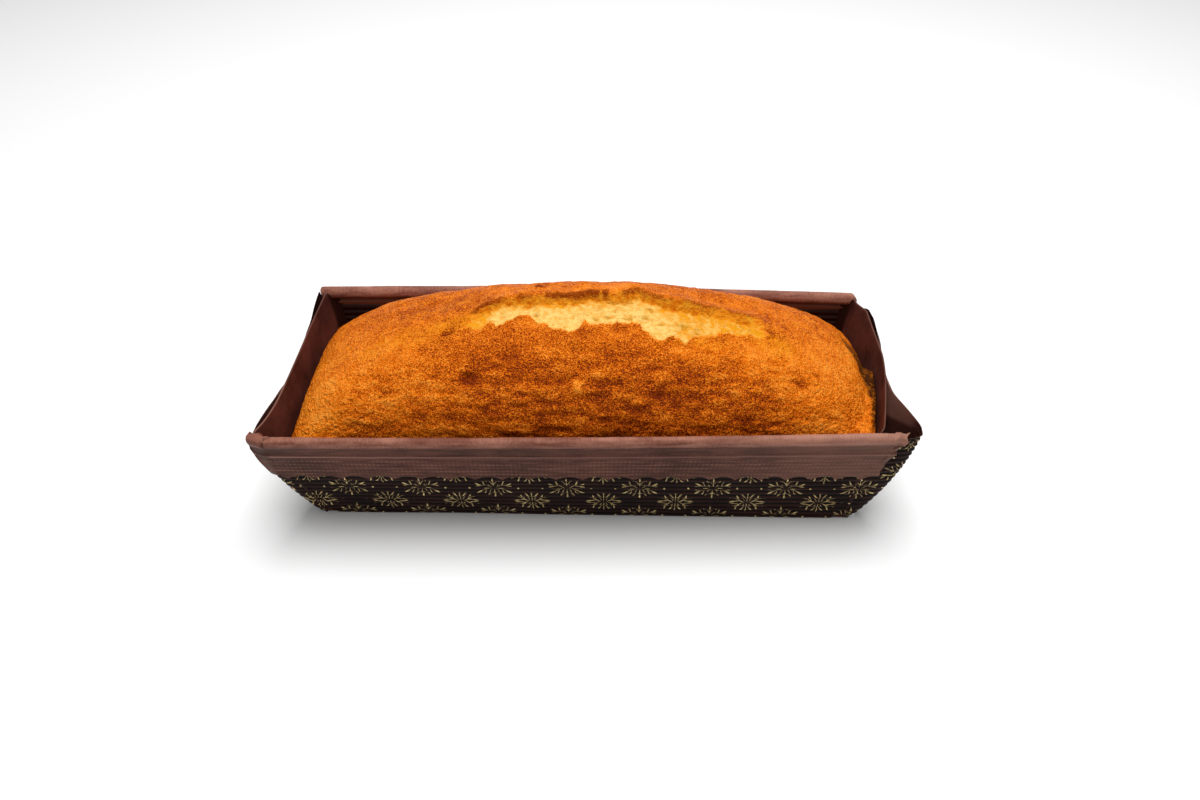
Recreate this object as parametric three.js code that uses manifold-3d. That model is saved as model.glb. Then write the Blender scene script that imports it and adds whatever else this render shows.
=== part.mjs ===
// A loaf cake in its folded paper baking case.
// Millimetres, +Z up. X runs along the loaf, +Y to its back. The origin is the middle of the case's base.
// The case is a fluted paper tray with flared walls. Each long wall runs on past its corners as a flap that
// is folded round the end, and a turned-over rim covers its top edge and hangs down as a scalloped band.
// The cake fills the tray, its crust domes above the rim and a long tear opens along the crest.

import * as THREE from 'three';
import { mergeVertices } from 'three/addons/utils/BufferGeometryUtils.js';
import Module from 'manifold-3d';

// ---- the case ----
const BASE_LENGTH = 200;
const BASE_WIDTH = 70;
const PAPER = 1.0;                 // fluted paper, over its ridges
const WALL_REF = 46.0;             // height at which the rim sizes below are given
const CORNER_RADIUS = 4.0;
const END_TOP = 45.4;              // top of the end walls
const LONG_TOP = 43.1;             // top of the long walls, inside the turned rim
const CORNER_TOP = 41.4;           // the wall dips under the rim at each corner
const CORNER_DIP = [3.2, 6.5];     // the dip ends this far along the end wall

// inner faces of the walls at WALL_REF, as distances from the middle. skew: change along the wall for each
// millimetre; bow: how much farther out the middle of a long wall is; front and back: how much farther out
// the left end wall is at its two corners
const FRONT_WALL = { rim: 38.95, skew: -0.026, bow: 0.95 };
const BACK_WALL = { rim: 41.8, skew: -0.004, bow: 1.9 };
const LEFT_WALL = { rim: 105.3, front: 3.3, back: 0.0, middle: 2, half: 40, power: 5 };
const RIGHT_WALL = {
  rim: 108.7, push: 10.3, start: 6, span: 45, power: 1.4, tuck: 3.0, tuckY: [31, 38],
};
const BACK_LEAN = BACK_WALL.rim - BASE_WIDTH / 2 + PAPER;   // the back wall leans out this far

// ---- the flaps that the long walls make round the ends ----
const FLAP_PAPER = 0.9;
const FLAP_REACH = 36.0;           // along the end, at the top
const FLAP_FOOT = 3.0;             // along the end, at the base
const FLAP_ROOT = [10, 6, 3.5];    // its line follows the long wall through places this far from the corner
const FLAP_LOW = 0.06;             // height of the lowest edge, as a share of the wall
const FLAP_RISE = [0.52, 0.66];    // share of its line where the flap rises from under the rim
const FLAP_FALL = [0.74, 1];       // and where its edge falls again, behind the end wall
const FLAP_DROP = 2.4;
const FLAP_PRESS = 0.6;            // share of its reach from where it lies along the end wall
const FLAP_STEPS = 14;
const FLAP_ROWS = 5;
// how the long wall rounds its corner, at the base and at the top
const ROUND_ALONG = [1.2, 0.2];    // the bend's apex is this far short of the corner, along X
const ROUND_ACROSS = [1.2, 0.9];   // and this far in from the wall, along Y
const ROUND_END = [3.8, 4.5];      // the bend ends this far from the wall
const ROUND_TIP = 0.72;            // share of a sprung flap's bulge that its apex takes

const BULGE_EARLY = 0.7;           // a sprung flap's bulge grows with this power of the height
const GAP_LATE = 3;                // a flap leaves the end wall with this power of the height
const SAG_PLACE = [0.54, 0.09];    // where on its line a flap's edge sags, and over what share of it

// flare: how far a corner stands out past the base; swell: how early it does so on the way up; pinch: how far
// its top is drawn in again; bulge: how far a sprung flap stands out past its corner; gap: end wall's outer
// face to the middle of the flap, where it is pressed and at its free end; top: height of the flap's edge;
// rise: where it rises to that height; sag: how far its edge sags before that
const CORNERS = {
  front_left: {
    sx: -1, sy: -1, flare: 11, swell: 2.0, pinch: 1.5, bulge: 0.2, gap: [1.4, 0.9],
    top: 45.2, rise: [0.65, 0.72], sag: 0,
  },
  front_right: {
    sx: 1, sy: -1, flare: 9, swell: 2.4, pinch: 0, bulge: 4.2, gap: [2.7, 0.8],
    top: END_TOP, rise: FLAP_RISE, sag: 0,
  },
  back_left: {
    sx: -1, sy: 1, flare: 8.1, swell: 1.2, pinch: 0, bulge: 0.3, gap: [0.8, 0.8],
    top: END_TOP, rise: FLAP_RISE, sag: 0,
  },
  back_right: {
    sx: 1, sy: 1, flare: 9.6, swell: 1.2, pinch: 0, bulge: 1.2, gap: [1.3, 0.9],
    top: END_TOP, rise: [0.63, 0.78], sag: 3.4,
  },
};

// ---- the turned rim and its band ----
const RIM_TOP = 46.4;
const RIM_GAP = 0.3;               // clear of the paper that it covers
const BAND_LOW = 24.4;             // tips of the scallops
const BAND_SKIN = 0.65;
const SCALLOPS = 22;
const SCALLOP_DEPTH = 1.5;
const RIM_LOW = 41.0;              // edge of the rim where it has no band
const RIM_HANG = 1.0;
const RETURN_HANG = 0.3;
const RETURN_SPAN = [0.6, 0.27];   // share of the front left flap's line
const RETURN_STEPS = 9;
const RETURN_BAND = [0.42, 0.5];   // share of that line where the band ends
const BAND_ENDS = { front: [-103.4, 108.2], back: [-106.7, 105.6] };
// how much shorter the band is towards its lower edge, left and right, as the wall is
const BAND_TAPER = { front: [0, 0.125], back: [0.075, 0.075] };

// ---- the cake ----
const CAKE_GAP = 0.35;             // clear of the paper
const CONTACT = 30.5;              // the crust leaves the paper at this height
const CREST = 67.0;
const CREST_Y = -0.6;
const END_POWER = 2.24;            // how suddenly the dome falls at its ends and sides
const SIDE_POWER = { front: 3.4, back: 3.05 };
const SHOULDER_POWER = 0.49;
const CORNER_ROUND = 0.75;
const CAKE_END_CROWD = 0.55;       // how much closer together the grid's columns are at the ends
const CAKE_SIDE_CROWD = 0.2;       // and its rows along the middle
const CAKE_U_STEPS = 48;
const CAKE_V_STEPS = 22;
const CAKE_ARC_STEPS = 4;

// ---- the low collar of crust that the dome springs from, at the right end wall ----
const COLLAR_TOP = 39.2;
const COLLAR_X = [88, 97];
const COLLAR_FRONT = [-33, -27];
const COLLAR_BACK = [10, 24];
const COLLAR_EDGE = 0.975;         // its top bends down to the paper past this share of the half length
const COLLAR_FALL = 3.0;

// ---- the tear along the crest ----
const TEAR_X = [-47, 66];
const TEAR_BOW = 4.8;              // the middle of the tear lies this far behind its two ends
const TEAR_END_Y = -4.6;
const TEAR_HALF_WIDTH = 9.0;
const TEAR_DEPTH = 2.5;
const LIP_RISE = 1.1;              // the far crust is lifted along its edge
const LIP_WIDTH = 6.0;
const TEAR_ROWS = 1.25;            // the rows that follow the tear reach this many half widths to each side
const TEAR_SHARE = 0.42;           // and are this share of all rows

const lerp = THREE.MathUtils.lerp;
const clamp = THREE.MathUtils.clamp;
const smoothstep = THREE.MathUtils.smoothstep;

// ---- inner faces of the four walls: t is the height as a share of WALL_REF ----

function longWall({ rim, skew, bow }, x, t) {
  return lerp(BASE_WIDTH / 2 - PAPER, rim + skew * x + bow * (1 - (2 * x / BASE_LENGTH) ** 2), t);
}

function frontInner(x, t) {
  return -longWall(FRONT_WALL, x, t);
}

function backInner(x, t) {
  return longWall(BACK_WALL, x, t);
}

function leftInner(y, t) {
  const { rim, front, back, middle, half, power } = LEFT_WALL;
  const stands = (y < middle ? front : back) * (Math.abs(y - middle) / half) ** power;
  return -lerp(BASE_LENGTH / 2 - PAPER, rim + stands, t);
}

// the right end wall is pushed in towards the front corner and tucked in at the back one
function rightInner(y, t) {
  const { rim, push, start, span, power, tuck, tuckY } = RIGHT_WALL;
  const pushed = push * (Math.max(0, start - y) / span) ** power;
  const tucked = tuck * smoothstep(y + BACK_LEAN * (1 - t), ...tuckY);
  return lerp(BASE_LENGTH / 2 - PAPER, rim - pushed - tucked, t);
}

// a place inside the tray: u and v run from -1 to 1 along and across, z is the height and inset is the
// distance kept from the inner faces, negative for the outer faces
function inTray(u, v, z, inset) {
  const t = z / WALL_REF;
  const halfWidth = BASE_WIDTH / 2 + 1;
  const over = clamp(Math.abs(v) * halfWidth - (halfWidth - CORNER_RADIUS), 0, CORNER_RADIUS);
  const cut = CORNER_RADIUS - Math.sqrt(CORNER_RADIUS ** 2 - over ** 2);
  let x = u * BASE_LENGTH / 2;
  let y = 0;
  // the walls bow, so each coordinate is found again from the other until both have settled
  for (let pass = 0; pass < 4; pass += 1) {
    y = lerp(frontInner(x, t) + inset, backInner(x, t) - inset, (v + 1) / 2);
    x = lerp(leftInner(y, t) + inset + cut, rightInner(y, t) - inset - cut, (u + 1) / 2);
  }
  return [x, y];
}

// steps from -1 to 1 across the tray, close together where the corner's arc is; crowd draws the others in
// towards the middle
function acrossSteps(middle, arc, crowd = 0) {
  const share = CORNER_RADIUS / (BASE_WIDTH / 2 + 1);
  const side = [];
  for (let i = 0; i < arc; i += 1) {
    side.push(1 - share * (1 - Math.cos((i / arc) * Math.PI / 2)));
  }
  const steps = side.map((v) => -v);
  for (let i = 0; i <= middle; i += 1) {
    const even = (2 * i) / middle - 1;
    steps.push(even * (1 - crowd + crowd * even ** 2) * (1 - share));
  }
  return steps.concat(side.reverse());
}

// the outline of the tray as [u, v] pairs, anticlockwise from the front left
function outline(uSteps, vSteps) {
  const ring = [];
  uSteps.slice(0, -1).forEach((u) => ring.push([u, -1]));
  vSteps.slice(0, -1).forEach((v) => ring.push([1, v]));
  uSteps.slice(1).reverse().forEach((u) => ring.push([u, 1]));
  vSteps.slice(1).reverse().forEach((v) => ring.push([-1, v]));
  return ring;
}

function evenSteps(count) {
  return Array.from({ length: count + 1 }, (_, i) => -1 + (2 * i) / count);
}

// ---- building closed meshes ----

// merges shared points, drops the triangles that this folds up, and turns the faces outwards
function geometryFrom(points, triangles) {
  const raw = new THREE.BufferGeometry();
  raw.setAttribute('position', new THREE.Float32BufferAttribute(points.flat(), 3));
  raw.setIndex(triangles.flat());
  const geometry = mergeVertices(raw, 1e-4);
  const place = geometry.attributes.position;
  const merged = Array.from(geometry.index.array);
  const index = [];
  for (let k = 0; k < merged.length; k += 3) {
    const [a, b, c] = merged.slice(k, k + 3);
    if (a !== b && b !== c && c !== a) {
      index.push(a, b, c);
    }
  }
  const corner = (k) => new THREE.Vector3().fromBufferAttribute(place, index[k]);
  let volume = 0;
  for (let k = 0; k < index.length; k += 3) {
    volume += corner(k).dot(corner(k + 1).cross(corner(k + 2)));
  }
  if (volume < 0) {
    for (let k = 0; k < index.length; k += 3) {
      [index[k + 1], index[k + 2]] = [index[k + 2], index[k + 1]];
    }
  }
  geometry.setIndex(index);
  return geometry;
}

// joins rings of equal length into one skin, each ring to the next
function skin(rings) {
  const count = rings[0].length;
  const triangles = [];
  for (let i = 0; i < rings.length - 1; i += 1) {
    for (let j = 0; j < count; j += 1) {
      const a = i * count + j;
      const b = i * count + ((j + 1) % count);
      triangles.push([a, b, b + count], [a, b + count, a + count]);
    }
  }
  return triangles;
}

// a ring drawn together to its middle, which closes the skin there
function toPoint(ring) {
  const middle = [0, 1, 2].map((axis) => ring.reduce((sum, point) => sum + point[axis], 0) / ring.length);
  return ring.map(() => middle);
}

// a ring that runs out along one side and back along the other, drawn together to the line between them
function toLine(ring) {
  const last = ring.length - 1;
  return ring.map((point, j) => point.map((value, axis) => (value + ring[last - j][axis]) / 2));
}

function closedLoft(rings, close) {
  const all = [close(rings[0]), ...rings, close(rings[rings.length - 1])];
  return geometryFrom(all.flat(), skin(all));
}

const wasm = await Module();
wasm.setup();

function solid(geometry) {
  return new wasm.Manifold(new wasm.Mesh({
    numProp: 3,
    vertProperties: new Float32Array(geometry.attributes.position.array),
    triVerts: new Uint32Array(geometry.index.array),
  }));
}

function geometryOf(manifold) {
  const mesh = manifold.getMesh();
  const geometry = new THREE.BufferGeometry();
  geometry.setAttribute('position', new THREE.BufferAttribute(mesh.vertProperties, 3));
  geometry.setIndex(new THREE.BufferAttribute(mesh.triVerts, 1));
  return geometry;
}

// ---- the tray ----

// the tray's top edge: under the rim on the long walls, dipped at the corners, free on the ends
function trayTop(u, v) {
  if (Math.abs(v) === 1) {
    return Math.abs(u) === 1 ? CORNER_TOP : LONG_TOP;
  }
  const fromCorner = (1 - Math.abs(v)) * (BASE_WIDTH / 2 + 5);
  return lerp(CORNER_TOP, END_TOP, smoothstep(fromCorner, ...CORNER_DIP));
}

function tray() {
  const ring = outline(evenSteps(20), acrossSteps(18, 4));
  const ringAt = (height, inset) => ring.map(([u, v]) => {
    const z = height(u, v);
    return [...inTray(u, v, z, inset), z];
  });
  const foot = ringAt(() => 0, -PAPER);
  const floor = ringAt(() => PAPER, 0);
  const rings = [foot, ringAt(trayTop, -PAPER), ringAt(trayTop, 0), floor];
  return closedLoft(rings, toPoint);
}

// ---- the flaps ----

function longMiddle(corner, x, t) {
  return corner.sy < 0 ? frontInner(x, t) - PAPER / 2 : backInner(x, t) + PAPER / 2;
}

function endOuter(corner, y, t) {
  return corner.sx < 0 ? leftInner(y, t) - PAPER : rightInner(y, t) + PAPER;
}

// the line that the middle of a long wall follows in plan, round its corner and on along the end
function flapCurve(corner, t) {
  const { sx, sy, flare, swell, pinch, bulge, gap } = corner;
  const stands = flare * (1 - Math.max(0, 1 - t) ** swell) - pinch * smoothstep(t, 0.7, 1);
  const cornerX = sx * (BASE_LENGTH / 2 + stands);
  const tip = sx * bulge * Math.max(0, t) ** BULGE_EARLY;
  const apexX = cornerX + tip * ROUND_TIP - sx * lerp(...ROUND_ALONG, t);
  const wallY = (x) => longMiddle(corner, x, t);
  const reach = lerp(FLAP_FOOT, FLAP_REACH, t);
  const y0 = wallY(cornerX);
  const onEnd = (share, away) => {
    const y = y0 - sy * reach * share;
    return new THREE.Vector2(endOuter(corner, y, t) + sx * lerp(1, away, Math.max(0, t) ** GAP_LATE), y);
  };
  const onWall = (back) => new THREE.Vector2(cornerX - sx * back, wallY(cornerX - sx * back));
  const points = [
    ...FLAP_ROOT.map(onWall),
    new THREE.Vector2(apexX, y0 - sy * lerp(...ROUND_ACROSS, t)),
    new THREE.Vector2(cornerX + tip, y0 - sy * lerp(...ROUND_END, t)),
    onEnd(FLAP_PRESS, gap[0]),
    onEnd(1, gap[1]),
  ];
  return new THREE.SplineCurve(points);
}

function flap(corner) {
  const rings = [];
  for (let i = 0; i <= FLAP_ROWS; i += 1) {
    const share = lerp(FLAP_LOW, 1, i / FLAP_ROWS);
    const near = [];
    const far = [];
    for (let j = 0; j <= FLAP_STEPS; j += 1) {
      const w = j / FLAP_STEPS;
      // the sheet's top rises from under the rim to its free height past the corner
      const sag = corner.sag * Math.exp(-(((w - SAG_PLACE[0]) / SAG_PLACE[1]) ** 2));
      const top = lerp(LONG_TOP, corner.top, smoothstep(w, ...corner.rise)) - sag;
      const z = share * (top - FLAP_DROP * smoothstep(w, ...FLAP_FALL));
      const curve = flapCurve(corner, z / WALL_REF);
      const middle = curve.getPoint(w);
      const along = curve.getTangent(w);
      const side = new THREE.Vector2(-along.y, along.x).multiplyScalar(FLAP_PAPER / 2);
      near.push([middle.x + side.x, middle.y + side.y, z]);
      far.push([middle.x - side.x, middle.y - side.y, z]);
    }
    rings.push(near.concat(far.reverse()));
  }
  return closedLoft(rings, toLine);
}

function paperCase() {
  let joined = solid(tray());
  Object.values(CORNERS).forEach((corner) => {
    joined = joined.add(solid(flap(corner)));
  });
  return geometryOf(joined);
}

// ---- the turned rim with its band ----

// section through the rim: outward distance from the paper's outer face, and height; low is the height of
// the band's edge and hang is how far the roll hangs over the paper's inner side
function rimSection(low, hang) {
  const inner = -PAPER - RIM_GAP;
  const skirt = RIM_GAP + BAND_SKIN;
  return [
    [inner, 42.0],
    [inner - 0.9 * hang, 42.5],
    [inner - hang, 44.2],
    [inner + 0.7, 45.8],
    [-0.2, RIM_TOP],
    [1.3, 45.6],
    [1.8, 44.0],
    [1.5, 42.4],
    [skirt, 41.6],
    [skirt, low],
    [RIM_GAP, low],
    [RIM_GAP, LONG_TOP + RIM_GAP],
    [inner, LONG_TOP + RIM_GAP],
  ];
}

// the rim and band along a long wall, from left to right
function wallStations(side) {
  const [start, end] = BAND_ENDS[side];
  const [taperLeft, taperRight] = BAND_TAPER[side];
  const out = side === 'front' ? -1 : 1;
  const inner = side === 'front' ? frontInner : backInner;
  const steps = SCALLOPS * 3;
  return Array.from({ length: steps + 1 }, (_, i) => {
    const raised = i % 3 === 0 ? SCALLOP_DEPTH : 0;
    return rimSection(BAND_LOW + raised, RIM_HANG).map(([away, z]) => {
      const above = lerp(start, end, i / steps);
      const x = above * (1 - (above < 0 ? taperLeft : taperRight) * (1 - z / WALL_REF));
      return [x, inner(x, z / WALL_REF) + out * (PAPER + away), z];
    });
  });
}

// the front rim begins on the left end and comes round the corner, and its band begins on the way
function cornerStations() {
  return Array.from({ length: RETURN_STEPS + 1 }, (_, i) => {
    const w = lerp(...RETURN_SPAN, i / RETURN_STEPS);
    const low = lerp(BAND_LOW + SCALLOP_DEPTH, RIM_LOW, smoothstep(w, ...RETURN_BAND));
    return rimSection(low, RETURN_HANG).map(([away, z]) => {
      const curve = flapCurve(CORNERS.front_left, z / WALL_REF);
      const middle = curve.getPoint(w);
      const along = curve.getTangent(w);
      const reach = PAPER / 2 + away;
      return [middle.x - along.y * reach, middle.y + along.x * reach, z];
    });
  });
}

// a closed skin through the stations, with flat cut ends
function turnedRim(stations) {
  const section = rimSection(BAND_LOW, RIM_HANG).map(([away, z]) => new THREE.Vector2(away, z));
  const last = (stations.length - 1) * section.length;
  const triangles = skin(stations);
  THREE.ShapeUtils.triangulateShape(section, []).forEach(([a, b, c]) => {
    const turned = THREE.ShapeUtils.isClockWise(section) ? [c, b, a] : [a, b, c];
    triangles.push(turned.map((k) => k + last), [...turned].reverse());
  });
  return geometryFrom(stations.flat(), triangles);
}

// ---- the cake ----

// share of the crest's height at u, v: flat on top, steep at the edge, rounder at the corners
function domeShare(u, v) {
  const v0 = CREST_Y / (BASE_WIDTH / 2 + 3);
  const across = v < v0 ? (v0 - v) / (v0 + 1) : (v - v0) / (1 - v0);
  const a = Math.abs(u) ** END_POWER;
  const b = across ** (v < v0 ? SIDE_POWER.front : SIDE_POWER.back);
  return ((1 - a) * (1 - b)) ** (SHOULDER_POWER * (1 + CORNER_ROUND * a * b));
}

// the tear's own measures at x: how open it is from 0 to 1, its middle line and half its width
function tearAt(x) {
  const along = clamp((x - TEAR_X[0]) / (TEAR_X[1] - TEAR_X[0]), 0, 1);
  const rise = Math.sin(Math.PI * along);
  const swell = Math.max(0, rise) ** 0.7;
  return { swell, middle: TEAR_END_Y + TEAR_BOW * rise, half: TEAR_HALF_WIDTH * Math.max(swell, 0.4) };
}

// height that the tear takes away, and that its lifted far lip adds
function tearRelief(x, y) {
  const { swell, middle, half } = tearAt(x);
  const across = (y - middle) / half;
  const groove = -TEAR_DEPTH * swell * smoothstep(across, -1, -0.3) * (1 - smoothstep(across, 0.75, 1.05));
  const lip = LIP_RISE * swell * smoothstep(across, 0.75, 1.05);
  return groove + lip * (1 - smoothstep(y - middle - half, 0.5, LIP_WIDTH));
}

// moves a row across the cake so that the middle rows follow the tear's edges
function rowAt(u, row) {
  const { middle, half } = tearAt(u * BASE_LENGTH / 2);
  const halfCake = BASE_WIDTH / 2 + 4;
  const near = (middle - TEAR_ROWS * half) / halfCake;
  const far = (middle + TEAR_ROWS * half) / halfCake;
  if (row < -TEAR_SHARE) {
    return lerp(-1, near, (row + 1) / (1 - TEAR_SHARE));
  }
  if (row > TEAR_SHARE) {
    return lerp(far, 1, (row - TEAR_SHARE) / (1 - TEAR_SHARE));
  }
  return lerp(near, far, (row / TEAR_SHARE + 1) / 2);
}

// a place on the crust: on the dome with its tear, or on the collar where that is higher
function crustAt(u, row) {
  const v = rowAt(u, row);
  const [x, y] = inTray(u, v, CONTACT, CAKE_GAP);
  const dome = CONTACT + (CREST - CONTACT) * domeShare(u, v) + tearRelief(x, y);
  const along = smoothstep(x, ...COLLAR_X);
  const across = smoothstep(y, ...COLLAR_FRONT) * (1 - smoothstep(y, ...COLLAR_BACK));
  const bend = COLLAR_FALL * smoothstep(u, COLLAR_EDGE, 1) * across;
  const collar = lerp(CONTACT, COLLAR_TOP, along * across) - bend;
  if (collar <= dome) {
    return [x, y, dome];
  }
  return [...inTray(u, v, collar, CAKE_GAP), collar];
}

function cake() {
  // the grid is finest where the dome is steep, at its ends, and where the tear is, along its middle
  const uSteps = evenSteps(CAKE_U_STEPS).map((u) => lerp(u, Math.sin(u * Math.PI / 2), CAKE_END_CROWD));
  const vSteps = acrossSteps(CAKE_V_STEPS, CAKE_ARC_STEPS, CAKE_SIDE_CROWD);
  const points = [];
  const triangles = [];
  uSteps.forEach((u) => vSteps.forEach((row) => points.push(crustAt(u, row))));
  const rows = vSteps.length;
  for (let i = 0; i < uSteps.length - 1; i += 1) {
    for (let j = 0; j < rows - 1; j += 1) {
      const a = i * rows + j;
      triangles.push([a, a + rows, a + rows + 1], [a, a + rows + 1, a + 1]);
    }
  }
  // the sides, from the crust's edge down to the base
  const ring = outline(uSteps, vSteps);
  const floor = PAPER + CAKE_GAP;
  const rings = [
    ring.map(([u, row]) => crustAt(u, row)),
    ring.map(([u, row]) => [...inTray(u, rowAt(u, row), floor, CAKE_GAP), floor]),
  ];
  rings.push(toPoint(rings[1]));
  const first = points.length;
  skin(rings).forEach(([a, b, c]) => triangles.push([first + c, first + b, first + a]));
  return geometryFrom(points.concat(rings.flat()), triangles);
}

// ---- the object ----

const looks = {
  cake: { color: 0xc8661c, roughness: 0.75, metalness: 0 },
  paper_case: { color: 0x3a261f, roughness: 0.8, metalness: 0 },
  turned_rim_front: { color: 0x6d4a3f, roughness: 0.7, metalness: 0 },
  turned_rim_back: { color: 0x6d4a3f, roughness: 0.7, metalness: 0 },
};

function named(name, geometry) {
  const mesh = new THREE.Mesh(geometry, new THREE.MeshStandardMaterial(looks[name]));
  mesh.name = name;
  return mesh;
}

const object = new THREE.Group();
object.add(named('cake', cake()));
object.add(named('paper_case', paperCase()));
object.add(named('turned_rim_front', turnedRim([...cornerStations(), ...wallStations('front')])));
object.add(named('turned_rim_back', turnedRim(wallStations('back'))));

export default object;
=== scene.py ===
"""A loaf cake in its folded paper baking case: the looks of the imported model.

Shapes are worked out in millimetres, on the same axes as the frame: X along the loaf, Y to its back, Z up,
from the middle of the case's base. They go into their meshes in metres.
"""

import math

import bpy
import numpy as np
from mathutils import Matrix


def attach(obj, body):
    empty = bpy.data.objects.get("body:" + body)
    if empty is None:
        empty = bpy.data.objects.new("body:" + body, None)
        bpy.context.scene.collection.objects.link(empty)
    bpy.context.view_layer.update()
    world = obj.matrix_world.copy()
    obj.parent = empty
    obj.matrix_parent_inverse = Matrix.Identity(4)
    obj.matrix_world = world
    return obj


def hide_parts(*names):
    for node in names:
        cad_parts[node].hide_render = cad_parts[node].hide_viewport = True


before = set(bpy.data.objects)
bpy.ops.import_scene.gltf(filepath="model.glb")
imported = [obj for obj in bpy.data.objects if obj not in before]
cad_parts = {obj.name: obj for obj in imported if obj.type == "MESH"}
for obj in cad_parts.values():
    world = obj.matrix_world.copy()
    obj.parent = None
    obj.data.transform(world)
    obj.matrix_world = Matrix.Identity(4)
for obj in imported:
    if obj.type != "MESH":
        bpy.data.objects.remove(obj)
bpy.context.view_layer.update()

# ---- the case: the walls lean out evenly from the base to WALL_REF ----
BASE_LENGTH = 200.0
BASE_WIDTH = 70.0
PAPER = 1.0
WALL_REF = 46.0
WALL_LEAN = 0.11
CORNER_RADIUS = 4.0

# heights of the top edges: of the ends, of the long walls under their rims, and of the corners, with the
# distance from a corner in which its dip ends
END_TOP = 45.4
LONG_TOP = 43.1
CORNER_TOP = 43.0
CORNER_DIP = (0.9, 2.2)

# how far out each wall's inner face stands at WALL_REF, and how it skews, bows or is pushed in
FRONT_WALL = {"rim": 38.95, "skew": -0.026, "bow": 0.95}
BACK_WALL = {"rim": 41.8, "skew": -0.004, "bow": 1.9}
LEFT_WALL = {"rim": 105.3, "front": 3.3, "back": 0.0, "middle": 2, "half": 40, "power": 5}
RIGHT_WALL = {
    "rim": 108.7, "push": 10.3, "start": 6, "span": 45, "power": 1.4, "tuck": 3.0, "tuck_y": (31, 38)}

# ---- the paper: its flutes, and each sheet's own layer of the pattern, so that their blotches differ ----
FLUTE_PITCH = 2.45
FLUTE_DEPTH = {"long": 0.3, "end": 0.22, "floor": 0.3}
SHEET_SKIN = 0.3
LAYER = {"long": 50.0, "end": 80.0, "floor": 120.0, "rim": 30.0}

# ---- the flaps that the long walls make round the ends ----

# how far a flap reaches along the end wall at WALL_REF and at the base, where its line begins before the
# corner, how far its foot clears the base, where along it the top falls away and by how much, and where it
# is pressed against the end wall
FLAP_REACH = 36.0
FLAP_FOOT = 3.0
FLAP_ROOT = (10.0, 6.0, 3.5)
FLAP_LOW = 0.06
FLAP_FALL = (0.74, 1.0)
FLAP_DROP = 2.4
FLAP_PRESS = 0.6

# the bend round the corner, at the base and at WALL_REF: how far before the corner it begins along the loaf
# and across it, and where it ends; then the share of the bulge at its tip, how early the bulge and how late
# the gap grow with height, and where the top sags
ROUND_ALONG = (1.2, 0.2)
ROUND_ACROSS = (1.2, 0.9)
ROUND_END = (3.8, 4.5)
ROUND_TIP = 0.72
BULGE_EARLY = 0.7
GAP_LATE = 3.0
SAG_PLACE = (0.54, 0.09)

# each corner: the side it is on, how far it stands out past the base and how early, how far its top is drawn
# in, how far a sprung flap bulges, the flap's distance from the end wall, its top, where its edge rises to
# that top, and how far the edge sags before it
CORNER_SIZES = ("sx", "sy", "flare", "swell", "pinch", "bulge", "gap", "top", "rise", "sag")
CORNERS = {name: dict(zip(CORNER_SIZES, sizes)) for name, sizes in {
    "front_left": (-1, -1, 11.0, 2.0, 1.5, 0.2, (1.4, 0.9), 45.2, (0.62, 0.7), 0.0),
    "front_right": (1, -1, 9.0, 2.4, 0.0, 4.2, (2.7, 0.8), END_TOP, (0.52, 0.66), 0.0),
    "back_left": (-1, 1, 8.1, 1.2, 0.0, 0.3, (0.8, 0.8), END_TOP, (0.47, 0.57), 0.0),
    "back_right": (1, 1, 9.6, 1.2, 0.0, 1.2, (1.3, 0.9), END_TOP, (0.63, 0.78), 3.4),
}.items()}

# ---- the turned rim and its band ----
BAND_TOP = 35.4
BAND_LOW = 24.4
SCALLOP_PITCH = 9.3
SCALLOP_DEPTH = 2.1
ROLL_LOW = 41.4
RIM_SKIN = 0.34

# the stretch of the flap's line that the front rim follows round the left corner, where its band ends on
# that stretch, and its lower edge from there on
RETURN_SPAN = (0.64, 0.27)
RETURN_BAND = (0.42, 0.5)
RIM_LOW = 39.6

# X of each rim's two ends, how much they draw in towards the base, and how much the outer layers draw in
BAND_ENDS = {"front": (-103.4, 108.2), "back": (-106.7, 105.6)}
BAND_TAPER = {"front": (0.0, 0.125), "back": (0.075, 0.075)}
BAND_SLANT = {"front": (0.0, 0.5), "back": (0.35, 0.9)}

# ---- the cake ----

# its distance from the paper, the height at which its crust leaves the paper, and its crest
CAKE_GAP = 0.35
CONTACT = 30.5
CREST = 67.0
CREST_Y = -0.6

# the powers that shape the dome, the top of the collar at its right end, and the rings of its hidden sides
END_POWER = 2.24
SIDE_POWER = {"front": 3.4, "back": 3.05}
SHOULDER_POWER = 0.49
CORNER_ROUND = 0.75
COLLAR_TOP = 39.4
SIDE_RINGS = (26.0, 18.0, 9.0, PAPER + CAKE_GAP)
HIDDEN_BROWNING = 0.8


# ---- small tools on whole arrays ----

def lerp(a, b, t):
    """The value that is the share t of the way from a to b."""
    return a + (b - a) * t


def smoothstep(x, low, high):
    """0 up to low, 1 from high on, and an even S between them."""
    t = np.clip((x - low) / (high - low), 0, 1)
    return t * t * (3 - 2 * t)


def xyz(x, y, z):
    """Points (..., 3) from their coordinates, which are arrays or numbers."""
    return np.stack(np.broadcast_arrays(x, y, z), axis=-1)


def hump(x, y, middle, size, turn=0.0):
    """A smooth hill of height 1 at middle that has fallen to 0.37 at size along and across, turned by
    degrees."""
    c, s = math.cos(math.radians(turn)), math.sin(math.radians(turn))
    dx, dy = x - middle[0], y - middle[1]
    along, across = c * dx + s * dy, c * dy - s * dx
    return np.exp(-(along / size[0]) ** 2 - (across / size[1]) ** 2)


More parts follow.
